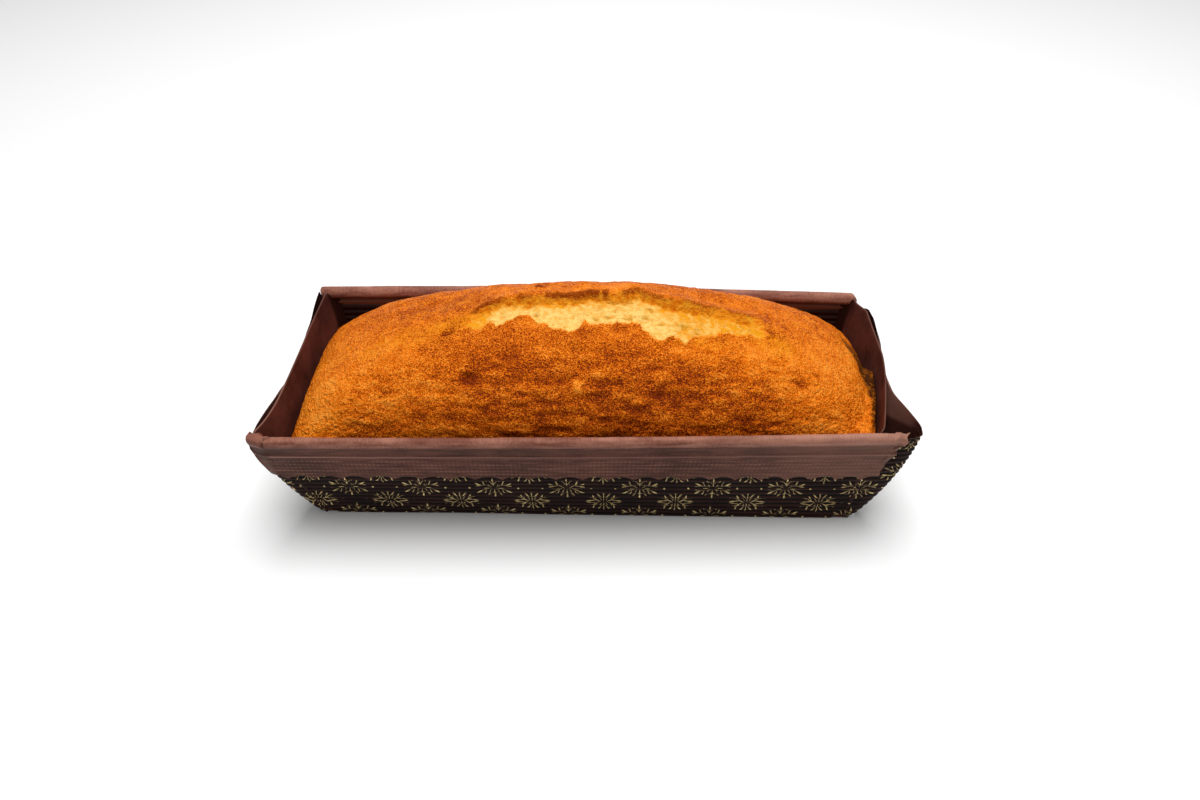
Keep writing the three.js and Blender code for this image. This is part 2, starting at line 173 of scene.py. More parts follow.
def noise(places, size, seed):
    """Smooth noise from -1 to 1 at an array of places (..., 3): random heights on a cubic lattice of the
    given size in millimetres (one number, or one for each axis), eased from each point to the next."""
    count = 4096
    table = np.random.default_rng(seed).uniform(-1, 1, count)
    scaled = places / np.asarray(size, float)
    cell = np.floor(scaled).astype(np.int64)
    part = scaled - cell
    part = part * part * (3 - 2 * part)
    total = 0.0
    for corner in np.ndindex(2, 2, 2):
        at = cell + corner
        heights = table[(at[..., 0] * 73 + at[..., 1] * 1291 + at[..., 2] * 2741) % count]
        weight = np.prod(np.where(corner, part, 1 - part), axis=-1)
        total = total + heights * weight
    return total


def rough(places, size, seed, octaves=3):
    """Noise summed over octaves, each half as large and half as strong as the one before."""
    return sum(noise(places, np.asarray(size, float) / 2 ** k, seed + k) / 2 ** k for k in range(octaves))


def even_steps(line, count, weight=None):
    """Places from 0 to 1 along a line of points (n, k), so that count steps are equally long. Where weight,
    one value for each point, is larger, the steps are shorter."""
    step = np.linalg.norm(np.diff(line, axis=0), axis=1)
    if weight is not None:
        step = step * (weight[1:] + weight[:-1]) / 2
    length = np.concatenate([[0], np.cumsum(step)])
    return np.interp(np.linspace(0, length[-1], count), length, np.linspace(0, 1, len(line)))


# ---- meshes ----

def grid_faces(rows, columns, first=0):
    """The four-cornered faces of a grid of points stored row by row from index first."""
    i, j = np.meshgrid(np.arange(rows - 1), np.arange(columns - 1), indexing="ij")
    a = (first + i * columns + j).ravel()
    return np.stack([a, a + 1, a + columns + 1, a + columns], axis=1)


def strip_faces(one, other):
    """Faces that join two equally long lines of point indices."""
    return np.stack([one[:-1], other[:-1], other[1:], one[1:]], axis=1)


def make_piece(name, points, faces, materials, fields, face_material=None):
    """A mesh object at the origin from points in millimetres. faces are four point indices each, the last
    two equal for a triangle. fields are the piece's own attributes, one value or vector for each point."""
    mesh = bpy.data.meshes.new(name)
    corners = np.where(faces[:, 2] == faces[:, 3], 3, 4)
    starts = np.concatenate([[0], np.cumsum(corners)[:-1]])
    keep = np.arange(4)[None, :] < corners[:, None]
    mesh.vertices.add(len(points))
    mesh.vertices.foreach_set("co", (points / 1000).astype(np.float32).ravel())
    mesh.loops.add(int(corners.sum()))
    mesh.loops.foreach_set("vertex_index", faces[keep].astype(np.int32))
    mesh.polygons.add(len(faces))
    mesh.polygons.foreach_set("loop_start", starts.astype(np.int32))
    mesh.polygons.foreach_set("use_smooth", np.ones(len(faces), bool))
    for material in materials:
        mesh.materials.append(material)
    if face_material is not None:
        mesh.polygons.foreach_set("material_index", face_material.astype(np.int32))
    mesh.update(calc_edges=True)
    for key, values in fields.items():
        vector = values.ndim == 2
        layer = mesh.attributes.new(key, "FLOAT_VECTOR" if vector else "FLOAT", "POINT")
        layer.data.foreach_set("vector" if vector else "value", values.astype(np.float32).ravel())
    mesh.validate()
    piece = bpy.data.objects.new(name, mesh)
    bpy.context.scene.collection.objects.link(piece)
    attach(piece, "root")
    return piece


def closed_sheet(name, outer, inner, materials, fields):
    """A sheet with thickness: two grids of points of the same shape, its two faces, joined round all four
    edges. Its first material is on the outer face, its last on the edges and the inner face."""
    rows, columns = outer.shape[:2]
    count = rows * columns
    front = grid_faces(rows, columns)
    back = grid_faces(rows, columns, count)[:, ::-1]
    index = np.arange(count).reshape(rows, columns)
    border = np.concatenate([index[0, :-1], index[:-1, -1], index[-1, :0:-1], index[::-1, 0]])
    edge = strip_faces(border, border + count)
    points = np.concatenate([outer.reshape(-1, 3), inner.reshape(-1, 3)])
    faces = np.concatenate([front, back, edge])
    if sixfold_volume(points, faces) < 0:
        faces = faces[:, ::-1]
    marks = np.concatenate([np.zeros(len(front)), np.full(len(back) + len(edge), len(materials) - 1)])
    both = {}
    for key, values in fields.items():
        flat = values.reshape(count, -1)
        both[key] = np.squeeze(np.concatenate([flat, flat]))
    return make_piece(name, points, faces, materials, both, marks)


def sixfold_volume(points, faces):
    """Six times the volume that the faces enclose, negative where they point inwards."""
    a, b, c, d = (points[faces[:, k]] for k in range(4))
    return float(np.sum(a * np.cross(b, c)) + np.sum(a * np.cross(c, d)))


def normals(grid):
    """Unit normals of a grid of points (rows, columns, 3), all on the same side of it."""
    normal = np.cross(np.gradient(grid, axis=0), np.gradient(grid, axis=1))
    normal /= np.maximum(np.linalg.norm(normal, axis=-1, keepdims=True), 1e-9)
    return normal


def outward(grid):
    """Unit normals of a grid of points, pointing away from the middle of the loaf."""
    normal = normals(grid)
    middle = np.array([0, 0, 20.0])
    return normal if np.sum(normal * (grid - middle)) > 0 else -normal


def along_grid(grid):
    """Distance along each row of a grid of points, from its first column."""
    step = np.linalg.norm(np.diff(grid, axis=1), axis=-1)
    return np.concatenate([np.zeros((len(grid), 1)), np.cumsum(step, axis=1)], axis=1)


# ---- nodes ----

def srgb(code):
    """An sRGB colour such as "#7a4a2c" as linear red, green, blue and alpha."""
    parts = [int(code[k:k + 2], 16) / 255 for k in (1, 3, 5)]
    return tuple(p / 12.92 if p <= 0.04045 else ((p + 0.055) / 1.055) ** 2.4 for p in parts) + (1.0,)


def new_material(name):
    """A material without nodes, and its empty node tree."""
    material = bpy.data.materials.new(name)
    material.use_nodes = True
    material.node_tree.nodes.clear()
    return material, material.node_tree


def add(tree, kind, links=(), out=0, **settings):
    """Adds a node with its settings and returns the output asked for. links gives inputs their values or
    the sockets that feed them, by name or number, or as a row that begins at the first input."""
    node = tree.nodes.new("ShaderNode" + kind)
    for key, value in settings.items():
        setattr(node, key, value)
    if not isinstance(links, dict):
        links = dict(enumerate(links))
    for key, value in links.items():
        if isinstance(value, bpy.types.NodeSocket):
            tree.links.new(value, node.inputs[key])
        else:
            node.inputs[key].default_value = value
    return node.outputs[out] if node.outputs else node


# ---- the shape of the tray ----

def long_inner(side, x, t):
    """Y of a long wall's inner face. side is -1 for the front and 1 for the back, t the height over
    WALL_REF."""
    wall = FRONT_WALL if side < 0 else BACK_WALL
    rim = wall["rim"] + wall["skew"] * x + wall["bow"] * (1 - (2 * x / BASE_LENGTH) ** 2)
    return side * lerp(BASE_WIDTH / 2 - PAPER, rim, t)


def end_inner(side, y, t):
    """X of an end wall's inner face. The left one bows, the right one is pushed in towards the front."""
    if side < 0:
        off = y - LEFT_WALL["middle"]
        stands = np.where(off < 0, LEFT_WALL["front"], LEFT_WALL["back"])
        rim = LEFT_WALL["rim"] + stands * (np.abs(off) / LEFT_WALL["half"]) ** LEFT_WALL["power"]
    else:
        pushed = np.maximum(0, RIGHT_WALL["start"] - y) / RIGHT_WALL["span"]
        rim = RIGHT_WALL["rim"] - RIGHT_WALL["push"] * pushed ** RIGHT_WALL["power"]
        lean = BACK_WALL["rim"] - BASE_WIDTH / 2 + PAPER
        rim = rim - RIGHT_WALL["tuck"] * smoothstep(y + lean * (1 - t), *RIGHT_WALL["tuck_y"])
    return side * lerp(BASE_LENGTH / 2 - PAPER, rim, t)


def in_tray(u, v, z, inset):
    """X and Y of a place in the tray: u and v run from -1 to 1 along and across it, and inset is the
    distance kept from the walls. The walls bow, so X and Y are each found again from the other four times."""
    t = z / WALL_REF
    half = BASE_WIDTH / 2 + 1
    over = np.clip(np.abs(v) * half - (half - CORNER_RADIUS), 0, CORNER_RADIUS)
    cut = CORNER_RADIUS - np.sqrt(CORNER_RADIUS ** 2 - over ** 2)
    x = u * BASE_LENGTH / 2
    for _ in range(4):
        y = lerp(long_inner(-1, x, t) + inset, long_inner(1, x, t) - inset, (v + 1) / 2)
        x = lerp(end_inner(-1, y, t) + inset + cut, end_inner(1, y, t) - inset - cut, (u + 1) / 2)
    return x, y


def spline(knots, w):
    """Places and directions on the smooth curve through knots (n, ..., 2) at w from 0 to 1: each stretch is
    a cubic whose slope at a knot is half the step between that knot's neighbours."""
    spans = len(knots) - 1
    k = np.clip(np.floor(w * spans).astype(int), 0, spans - 1)
    f = (w * spans - k)[..., None]

    def knot(shift):
        """The knots that lie shift steps on from the stretch's first."""
        index = np.clip(k + shift, 0, spans)
        return np.take_along_axis(knots, index[None, ..., None], axis=0)[0]

    before, a, b, after = knot(-1), knot(0), knot(1), knot(2)
    slope_a, slope_b = (b - before) / 2, (after - a) / 2
    twist, bend = 2 * (a - b) + slope_a + slope_b, 3 * (b - a) - 2 * slope_a - slope_b
    place = ((twist * f + bend) * f + slope_a) * f + a
    return place, (3 * twist * f + 2 * bend) * f + slope_a


def flap_line(corner, t, w):
    """Where the middle of a long wall lies in plan, at height t: w runs from 10 mm before the corner, round
    it and on along the end. t and w are arrays of one shape."""
    sx, sy = corner["sx"], corner["sy"]
    stands = corner["flare"] * (1 - np.maximum(0, 1 - t) ** corner["swell"])
    corner_x = sx * (BASE_LENGTH / 2 + stands - corner["pinch"] * smoothstep(t, 0.7, 1))
    tip = sx * corner["bulge"] * np.maximum(0, t) ** BULGE_EARLY

    def wall_y(x):
        """Y of the wall's middle at x."""
        return long_inner(sy, x, t) + sy * PAPER / 2

    y0 = wall_y(corner_x)

    def on_end(share, gap):
        """A place at a share of the flap's reach along the end wall, gap off it."""
        y = y0 - sy * lerp(FLAP_FOOT, FLAP_REACH, t) * share
        return end_inner(sx, y, t) + sx * (PAPER + lerp(1, gap, np.maximum(0, t) ** GAP_LATE)), y

    places = [(corner_x - sx * back, wall_y(corner_x - sx * back)) for back in FLAP_ROOT]
    turn_y = y0 - sy * lerp(*ROUND_ACROSS, t)
    places.append((corner_x + tip * ROUND_TIP - sx * lerp(*ROUND_ALONG, t), turn_y))
    places.append((corner_x + tip, y0 - sy * lerp(*ROUND_END, t)))
    places += [on_end(FLAP_PRESS, corner["gap"][0]), on_end(1, corner["gap"][1])]
    return spline(np.stack([np.stack(place, axis=-1) for place in places]), w)


def flap_top(corner, w):
    """Height of a long wall's top edge on its line: level under the rim, up to the flap's own height past
    the corner, and down again behind the end wall."""
    top = lerp(LONG_TOP, corner["top"], smoothstep(w, *corner["rise"]))
    sag = corner["sag"] * np.exp(-((w - SAG_PLACE[0]) / SAG_PLACE[1]) ** 2)
    return top - sag - FLAP_DROP * smoothstep(w, *FLAP_FALL)


# ---- the fluted paper ----

def long_sheet(side, materials):
    """A long wall with the flap at each end of it, one fluted sheet. Its middle surface is the wall's line
    in plan at each height. The flutes run along it: a cosine of the distance up the wall."""
    key = "front" if side < 0 else "back"
    left, right = CORNERS[key + "_left"], CORNERS[key + "_right"]
    rows, wall_steps, flap_steps = 165, 70, 44
    w = np.concatenate([
        np.linspace(1, 0, flap_steps)[:-1], np.zeros(wall_steps), np.linspace(0, 1, flap_steps)[1:]])
    across = np.concatenate([
        np.zeros(flap_steps - 1), np.linspace(0, 1, wall_steps), np.ones(flap_steps - 1)])
    share = np.append(np.linspace(0, 0.994, rows - 1), 1)[:, None]
    low = FLAP_LOW * smoothstep(w, 0, 0.3)[None, :]
    top = np.where(across < 0.5, flap_top(left, w), flap_top(right, w))[None, :]
    z = lerp(low, 1, share) * top
    t = z / WALL_REF
    w = np.broadcast_to(w, t.shape)
    across = np.broadcast_to(across, t.shape)
    at_left = flap_line(left, t, w)[0]
    at_right = flap_line(right, t, w)[0]
    x = lerp(at_left[..., 0], at_right[..., 0], across)
    y = np.where(across < 0.5, at_left[..., 1], at_right[..., 1])
    y = np.where(w == 0, long_inner(side, x, t) + side * PAPER / 2, y)
    middle = xyz(x, y, z)
    normal = outward(middle)
    along = along_grid(middle)
    along = along - along[:, [len(along[0]) // 2]]
    up = z * math.hypot(1, WALL_LEAN)
    place = xyz(along, up, side * LAYER["long"])
    phase = up / FLUTE_PITCH + 0.22 * noise(place, (45, 9, 9), 11)
    deep = FLUTE_DEPTH["long"] * (1 - 0.25 * smoothstep(noise(place, (30, 12, 9), 12), 0.2, 0.9))
    wave = deep * np.cos(2 * np.pi * phase)
    slack = 0.1 * rough(place, (24, 14, 9), 13)
    # the flaps are pressed smooth on the inside
    smoother = 1 - smoothstep(w, 0.55, 0.7)
    outer = middle + normal * ((wave + slack)[..., None] + SHEET_SKIN / 2)
    inner = middle + normal * ((wave * smoother + slack)[..., None] - SHEET_SKIN / 2)

    # painted light and shade: the sprung flap's fold is painted pale as a highlight where it faces the light,
    # and the rest of that flap is painted dark as shade; the back wall's inside, painted dark as shade, is
    # paler in a strip along its top, and the flaps' top edges are paler
    catches_light = smoothstep(z + 0.4 * (y + 22), 38.2, 39.8) * smoothstep(y, -30.5, -28)
    on_sprung = (side < 0) * (across > 0.5)
    sprung_highlight = on_sprung * (w > 0.6) * catches_light
    pale_edge_and_highlight = np.maximum(0.55 * sprung_highlight, 0.35 * (share > 0.999) * smoothstep(w, 0.6, 0.66))
    pale_top_strip = smoothstep(z + 0.5 * noise(place, (14, 9, 9), 14), 38.6, 39.4) * (side > 0) * (w < 0.3)
    pale_edge_and_highlight = np.maximum(pale_edge_and_highlight, 0.75 * pale_top_strip)
    # painted shade: the sprung flap below its lit fold
    painted_shade = 0.5 * on_sprung * (w > 0.5) * (1 - catches_light)
    groove_shade = 0.5 - 0.5 * np.cos(2 * np.pi * phase)
    fields = {"sheet_mm": place, "groove_shade": groove_shade, "pale_edge_and_highlight": pale_edge_and_highlight, "painted_shade": painted_shade}
    return closed_sheet(f"long_sheet_{key}", outer, inner, materials, fields)


def end_sheet(side, materials):
    """An end wall with the rounded corners that join it to the long walls. The same fluting runs up it. On
    the inside it is pressed nearly flat."""
    columns, rows, fine = 301, 30, 2001
    line = np.linspace(-1, 1, fine)
    x, y = in_tray(np.full_like(line, side), line, 40.0, -PAPER / 2)
    v = np.interp(even_steps(np.stack([x, y], axis=-1), columns), np.linspace(0, 1, fine), line)[None, :]
    from_corner = (1 - np.abs(v)) * (BASE_WIDTH / 2 + 5)
    top = lerp(CORNER_TOP, END_TOP, smoothstep(from_corner, *CORNER_DIP))
    share = np.append(np.linspace(0, 0.99, rows - 1), 1)[:, None]
    z = share * top
    v = np.broadcast_to(v, z.shape)
    x, y = in_tray(np.full_like(z, side), v, z, -PAPER / 2)
    middle = xyz(x, y, z)
    normal = outward(middle)
    place = xyz(along_grid(middle), z, side * LAYER["end"])
    place[..., 0] -= place[:, [columns // 2], 0]
    wave = np.cos(2 * np.pi * (place[..., 0] / FLUTE_PITCH + 0.15 * noise(place, (12, 30, 9), 21)))
    slack = 0.12 * rough(place, (16, 22, 9), 22)
    wave = wave * (1 - smoothstep(z - top, -6, -2))
    outer = middle + normal * (FLUTE_DEPTH["end"] * wave + slack + 0.2)[..., None]
    inner = middle + normal * (slack - 0.25)[..., None]
    pale_edge_and_highlight = (share > 0.999) * (0.3 + 0.6 * (side < 0) * smoothstep(-y, 12, 18))
    # painted shade: the end walls darken into their back corners
    painted_shade = smoothstep(v + 0.008 * noise(place, (9, 6, 9), 23), 0.925, 0.965)
    fields = {"sheet_mm": place, "groove_shade": 0.5 - 0.5 * wave, "pale_edge_and_highlight": pale_edge_and_highlight, "painted_shade": painted_shade}
    name = "end_sheet_left" if side < 0 else "end_sheet_right"
    return closed_sheet(name, outer, inner, materials, fields)


def floor_sheet(materials):
    """The bottom of the case: a flat sheet between the walls whose flutes run along it."""
    u, v = np.meshgrid(np.linspace(-1, 1, 41), np.linspace(-1, 1, 241), indexing="ij")
    x, y = in_tray(u, v, np.zeros_like(u), -PAPER / 2)
    flute = 0.5 + 0.5 * np.cos(2 * np.pi * y / FLUTE_PITCH)
    under = xyz(x, y, FLUTE_DEPTH["floor"] * flute * (1 - np.abs(v) ** 20))
    fields = {"sheet_mm": xyz(x, y, LAYER["floor"]), "groove_shade": flute, "pale_edge_and_highlight": np.zeros_like(x)}
    return closed_sheet("case_floor", under, xyz(x, y, PAPER), materials, fields)


# ---- the turned rim ----

# the line that the lining follows over the wall's top, down to the band: outward distance and height
RIM_LINE = np.array([
    (-1.45, 42.1), (-1.85, 42.9), (-1.95, 43.9), (-1.65, 44.9), (-0.95, 45.7), (-0.1, 46.05), (0.8, 45.75),
    (1.4, 45.0), (1.6, 44.0), (1.45, 42.9), (1.05, 42.1), (0.85, 41.4), (0.8, 40.0), (0.95, 38.5),
    (1.25, 37.7), (1.2, 37.2), (0.75, 36.9), (0.62, 36.2), (0.62, BAND_TOP)])

# points on that line, those at the roll's top, points on the band, and the band's distance from the wall
RIM_STEPS = 58
ROLL_TOP = slice(12, 20)
BAND_STEPS = 22
BAND_AWAY = (0.62, 1.4)


def rim_profile():
    """The rim's whole line: the roll and the pressed strip below it on RIM_LINE, then the band."""
    w = np.linspace(0, 1, RIM_STEPS)[None, :]
    roll = spline(np.broadcast_to(RIM_LINE[:, None, None, :], (len(RIM_LINE), 1, RIM_STEPS, 2)), w)[0]
    heights = np.linspace(BAND_TOP, BAND_LOW, BAND_STEPS + 1)[1:]
    band = np.stack([np.linspace(*BAND_AWAY, BAND_STEPS), heights], axis=-1)
    return np.concatenate([roll[0], band])


def turned_rim(side, materials):
    """The rim's line carried along the wall's top edge, and for the front rim first round the left corner,
    where it has no band. The band's edge is a row of shallow arches. The front rim is crumpled at its right
    end and has a mitred fold across its roll near its left one."""
    key = "front" if side < 0 else "back"
    start, end = BAND_ENDS[key]
    profile = rim_profile()
    away, height = profile[:, 0][None, :], profile[:, 1][None, :]
    x0 = np.concatenate([
        np.arange(start - 0.9, start + 5, 0.25), np.linspace(start + 5, end - 10, 330),
        np.linspace(end - 10, end, 46)[1:]])[:, None]
    arch = np.abs(np.sin(np.pi * x0 / SCALLOP_PITCH)) ** 0.8
    place = xyz(x0, height, side * LAYER["rim"])
    low = BAND_LOW + SCALLOP_DEPTH * arch + 0.25 * noise(place[:, :1], (5, 9, 9), 31)[:, :1]
    band_part = np.clip((BAND_TOP - height) / (BAND_TOP - BAND_LOW), 0, 1)
    z = np.where(height < BAND_TOP, lerp(BAND_TOP, low, band_part), height)
    x = x0 * (1 - np.where(x0 < 0, *BAND_TAPER[key]) * (1 - z / WALL_REF))
    ragged = smoothstep(x0, end - 7, end) if side < 0 else 0.25 * smoothstep(np.abs(x0), end - 4, end)
    x = x + ragged * 0.8 * noise(xyz(0 * x, z, 0.0), (3, 1.7, 3), 32)
    slant = np.where(x0 < 0, *BAND_SLANT[key])
    x = x - np.where(x0 < 0, -1, 1) * away * slant * smoothstep(np.abs(x0), 99, 106)
    y = long_inner(side, x, z / WALL_REF) + side * (PAPER + away)
    middle = xyz(x, y, z)
    fold = np.zeros_like(middle[..., 0])
    if side < 0:
        middle = np.concatenate([rim_return(away, height), middle])
        off_fold = middle[..., 0] + 104.1 + 0.56 * away
        on_roll = smoothstep(middle[..., 2], 42.8, 43.6)
        fold = on_roll * np.exp(-(off_fold / 0.35) ** 2)
    normal = normals(middle)
    if normal[:, ROLL_TOP, 2].mean() < 0:
        normal = -normal
    steps = np.linalg.norm(np.diff(middle[:, 40], axis=0), axis=1)
    along = np.cumsum(np.concatenate([[0], steps]))
    place = xyz((along - along[-1])[:, None], middle[..., 2], side * LAYER["rim"])
    crumple = 0.1 * rough(place, (14, 5, 9), 33) + 0.05 * noise(place, (3, 2.2, 9), 34)
    crumple = crumple * (1 - 0.6 * smoothstep(-middle[..., 2], -36, -35))
    if side < 0:
        folds = 0.5 - 2.2 * np.abs(noise(place, (1.6, 2.6, 9), 35)) + 0.5 * noise(place, (0.8, 1.2, 9), 36)
        crumple = crumple + 0.62 * smoothstep(middle[..., 0], 100, 106) * folds
        beside = smoothstep(-off_fold, 0, 0.4)
        crumple = crumple - 0.5 * fold + 0.3 * on_roll * beside * np.exp(np.minimum(off_fold, 0) / 2.5)
    outer = middle + normal * (crumple + RIM_SKIN / 2)[..., None]
    inner = middle + normal * (crumple - RIM_SKIN / 2)[..., None]
    return closed_sheet(f"turned_lining_{key}", outer, inner, materials, {"sheet_mm": place, "fold": fold})


def rim_return(away, height):
    """The stretch of the front rim that comes round the left corner: the rim's line on the flap's line."""
    w = np.linspace(*RETURN_SPAN, 44)[:, None]
    low = lerp(BAND_LOW + SCALLOP_DEPTH, RIM_LOW, smoothstep(w, *RETURN_BAND))
    part = (height - BAND_LOW) / (ROLL_LOW - BAND_LOW)
    z = np.where(height < ROLL_LOW, lerp(low, ROLL_LOW, part), height)
    to_tip = smoothstep(w, 0.5, RETURN_SPAN[0])
    flattened = smoothstep(w, 0.28, 0.46)
    near = away * np.where(away > 0, 1 - 0.3 * flattened, 1 + 1.1 * flattened) * (1 - 0.85 * to_tip)
    z = z - 0.5 * to_tip * smoothstep(height, 42, 45)
    place, direction = flap_line(CORNERS["front_left"], z / WALL_REF, np.broadcast_to(w, z.shape))
    direction /= np.linalg.norm(direction, axis=-1, keepdims=True)
    reach = PAPER / 2 + near
    return xyz(place[..., 0] - direction[..., 1] * reach, place[..., 1] + direction[..., 0] * reach, z)


# ---- the cake ----

# the torn edge of the near crust and the foot of the far one: X and Y of their teeth
NEAR_TEETH = np.array([
    (-47, -6.5), (-35, -6), (-33, -3.5), (-30, -5.5), (-26, -3), (-23, -0.5), (-19, -1), (-16, -4.5),
    (-10, -8.5), (-5, -10), (-2, -8.5), (0, -4.5), (5, -6.5), (12, -5), (19, -5.5), (20, -8.5), (26, -13.5),
    (30, -10), (34, -13.5), (37, -10), (44, -8.5), (47, -6), (52, -6.5), (57, -5), (66, -6)])
FAR_TEETH = np.array([
    (-47, -4.5), (-40, -0.5), (-35, 3.5), (-29, 7.0), (-23, 8.2), (-20, 7), (-14, 7), (-6, 7.5), (0, 8.5),
    (4, 9.2), (14, 9.4), (18, 11.5), (21, 9.5), (27, 7), (32, 4), (40, 3.5), (50, 3), (56, 1.8), (62, 0),
    (66, -3)])

# the stretches of X in which the tear opens and closes, its step down at the near crust and its depth, and
# the width of the steep wall behind it and how far that wall's top is lifted
TEAR_ENDS = ((-47, -36), (58, 67))
TEAR_LENGTH = TEAR_ENDS[1][1] - TEAR_ENDS[0][0]
TEAR_STEP = 0.8
TEAR_DEPTH = 2.5
SCARP_WIDTH = 3.0
SCARP_LIP = 1.0

# dents and blisters of the crust: middle, size, depth (negative for a blister) and turn in degrees
DENTS = [
    ((-37.6, -26), (3.4, 1.9), 1.5, 10), ((-47.5, -7.6), (2.6, 1.3), 1.5, 20),
    ((63, -4), (3.5, 1.7), 1.0, -15), ((27, -29.7), (5.5, 2.2), 0.7, 5),
    ((74.3, -21), (3.2, 2.2), 1.2, 0), ((79.4, -16), (1.4, 0.9), 0.7, 0),
    ((50.8, -20.7), (3.4, 1.8), 0.7, 0), ((23.7, -22.9), (4.5, 1.8), 0.7, -8),
    ((-4.8, -27.2), (4.5, 1.2), 0.9, 5), ((-20, -27), (2.2, 1.2), 0.6, 0),
    ((-1.8, -28.6), (1.0, 1.3), -0.8, 0), ((-19.8, -33), (3.2, 1.2), 0.6, 0),
    ((-14, -32.3), (3.5, 1.2), 0.6, 0), ((-68, 18), (5, 3), 0.6, 30), ((34, 24), (6, 2.6), 0.7, -20),
    ((-22, 27), (4.5, 2), 0.6, 10), ((80, 14), (3, 2), 0.5, 40), ((-0.6, 19.5), (5, 4), -1.0, 0),
    ((17.6, 18.5), (4, 3.5), -0.8, 0), ((-17.2, 17.5), (1.8, 1.4), -0.9, 0),
    ((-38.6, -25.6), (1.5, 0.7), 0.9, 10), ((73.8, -20.6), (1.5, 0.6), 0.6, 0),
    ((-54, 16), (13, 10), 2.3, 0), ((54, 15), (14, 9), 2.6, 0)]

# patches of the crust that baked darker or stayed paler, and two paler patches at the ends, X -92 and 88,
# that are painted light: middle, size, strength and turn in degrees
PATCHES = [
    ((14, -31), (48, 11), 0.17, 2), ((-18, -22), (26, 9), 0.15, 0), ((-12, -9), (15, 4), 0.12, 0),
    # the patches at X 88 and -92 are painted light on the dome's ends
    ((-62, -6), (22, 14), -0.14, 0), ((88, -8), (18, 24), -0.26, 0), ((-92, -26), (16, 14), -0.3, 0),
    ((4, 17), (34, 6), -0.17, 0), ((24, -15), (32, 4), -0.08, 0), ((54, -14), (18, 12), -0.11, 0),
    ((-37.2, -25.8), (3.0, 1.6), 0.85, 10), ((-39, -27), (9, 3), 0.1, 0),
    ((74.3, -20.8), (2.8, 1.4), 0.42, 0), ((79.4, -16), (1.1, 0.8), 0.6, 0),
    ((27, -29.4), (5, 1.8), 0.1, 5), ((23.7, -22.6), (4.5, 1.4), 0.2, -8),
    ((50.8, -20.4), (2.6, 1.3), 0.2, 0), ((-4.8, -27), (4.6, 1.3), 0.26, 5),
    ((-1.8, -28.6), (1.1, 1.4), -1.3, 0), ((-47.5, -7.6), (2.4, 1.1), 0.6, 20),
    ((64, -2), (4, 2), 0.3, -20), ((30, -28), (16, 6), 0.08, 0), ((-20, 26), (40, 10), 0.1, 0),
    ((50, 24), (34, 12), 0.05, 0), ((-62, 9), (20, 7), 0.14, 0), ((-34, 12), (12, 4), 0.1, 0),
    ((-17.2, 17.8), (1.7, 1.0), 0.9, 0), ((-6, -15), (18, 3), 0.06, 0), ((-19.8, -33), (3, 1.2), 0.2, 0),
    ((-14, -32.3), (3.4, 1.2), 0.2, 0), ((-38.6, -25.6), (1.8, 0.8), 0.6, 10),
    ((73.8, -20.6), (1.7, 0.7), 0.4, 0)]

# larger holes in the crumb: middle and size
CRUMB_HOLES = [
    ((3.9, -1.6), (1.3, 0.8)), ((8.4, -1.0), (1.5, 0.9)), ((21.1, -0.7), (1.5, 0.9)),
    ((34.6, -3.7), (2.0, 1.3)), ((26.6, -3.6), (1.0, 0.6)), ((38.4, -7.9), (1.2, 0.7)),
    ((-17.0, 0.2), (1.0, 0.7))]

# where the crust stayed a lighter golden yellow: middle, size, share and turn in degrees
GOLDEN = [
    ((-64, -8), (20, 8), 0.4, 0), ((-43, -3), (9, 6), 0.8, 15), ((62, -6), (14, 6), 0.6, -10),
    ((-50, 10), (10, 3), 0.3, 20), ((-8, -17), (16, 3), 0.3, 0), ((38, -13), (14, 3), 0.3, 0)]

# the line, X for Y, past which the dome's right side is painted dark: crust baked dark, and painted shade
# from the paper
COLLAR_LINE = np.array([
    (101.8, -36), (100.8, -24), (102.2, -10.6), (101.6, -6.4), (101.0, -2.1), (99.4, 1.1), (98.6, 5.5),
    (96.4, 8.7), (95.5, 13), (94.5, 19), (93, 26)])[:, ::-1]


def dome_share(u, v):
    """Share of the crest's height: one less the power of the distance from the crest, along and across,
    multiplied, and raised to a power under one, which makes the shoulders steep and the top flat."""
    v0 = CREST_Y / (BASE_WIDTH / 2 + 3)
    across = np.where(v < v0, (v0 - v) / (v0 + 1), (v - v0) / (1 - v0))
    a = np.abs(u) ** END_POWER
    b = across ** np.where(v < v0, SIDE_POWER["front"], SIDE_POWER["back"])
    base = np.clip((1 - a) * (1 - b), 0, 1)
    return base ** (SHOULDER_POWER * (1 + CORNER_ROUND * a * b))


def dome_stations():
    """The dome's grid in u and v: steps that are equally long over the dome, but shorter across the tear."""
    columns, rows, fine = 436, 216, 4001
    line, none = np.linspace(-1, 1, fine), np.zeros(fine)
    x, y = in_tray(line, none, CONTACT, CAKE_GAP)
    z = (CREST - CONTACT) * dome_share(line, none)
    u = np.interp(even_steps(np.stack([x, z], axis=-1), columns), np.linspace(0, 1, fine), line)
    x, y = in_tray(none, line, CONTACT, CAKE_GAP)
    z = (CREST - CONTACT) * dome_share(none, line)
    finer = 0.75 + 0.3 * (y < 0) + 1.1 * smoothstep(17 - np.abs(y + 1), 0, 4)
    v = np.interp(even_steps(np.stack([y, z], axis=-1), rows, finer), np.linspace(0, 1, fine), line)
    return np.meshgrid(u, v, indexing="ij")


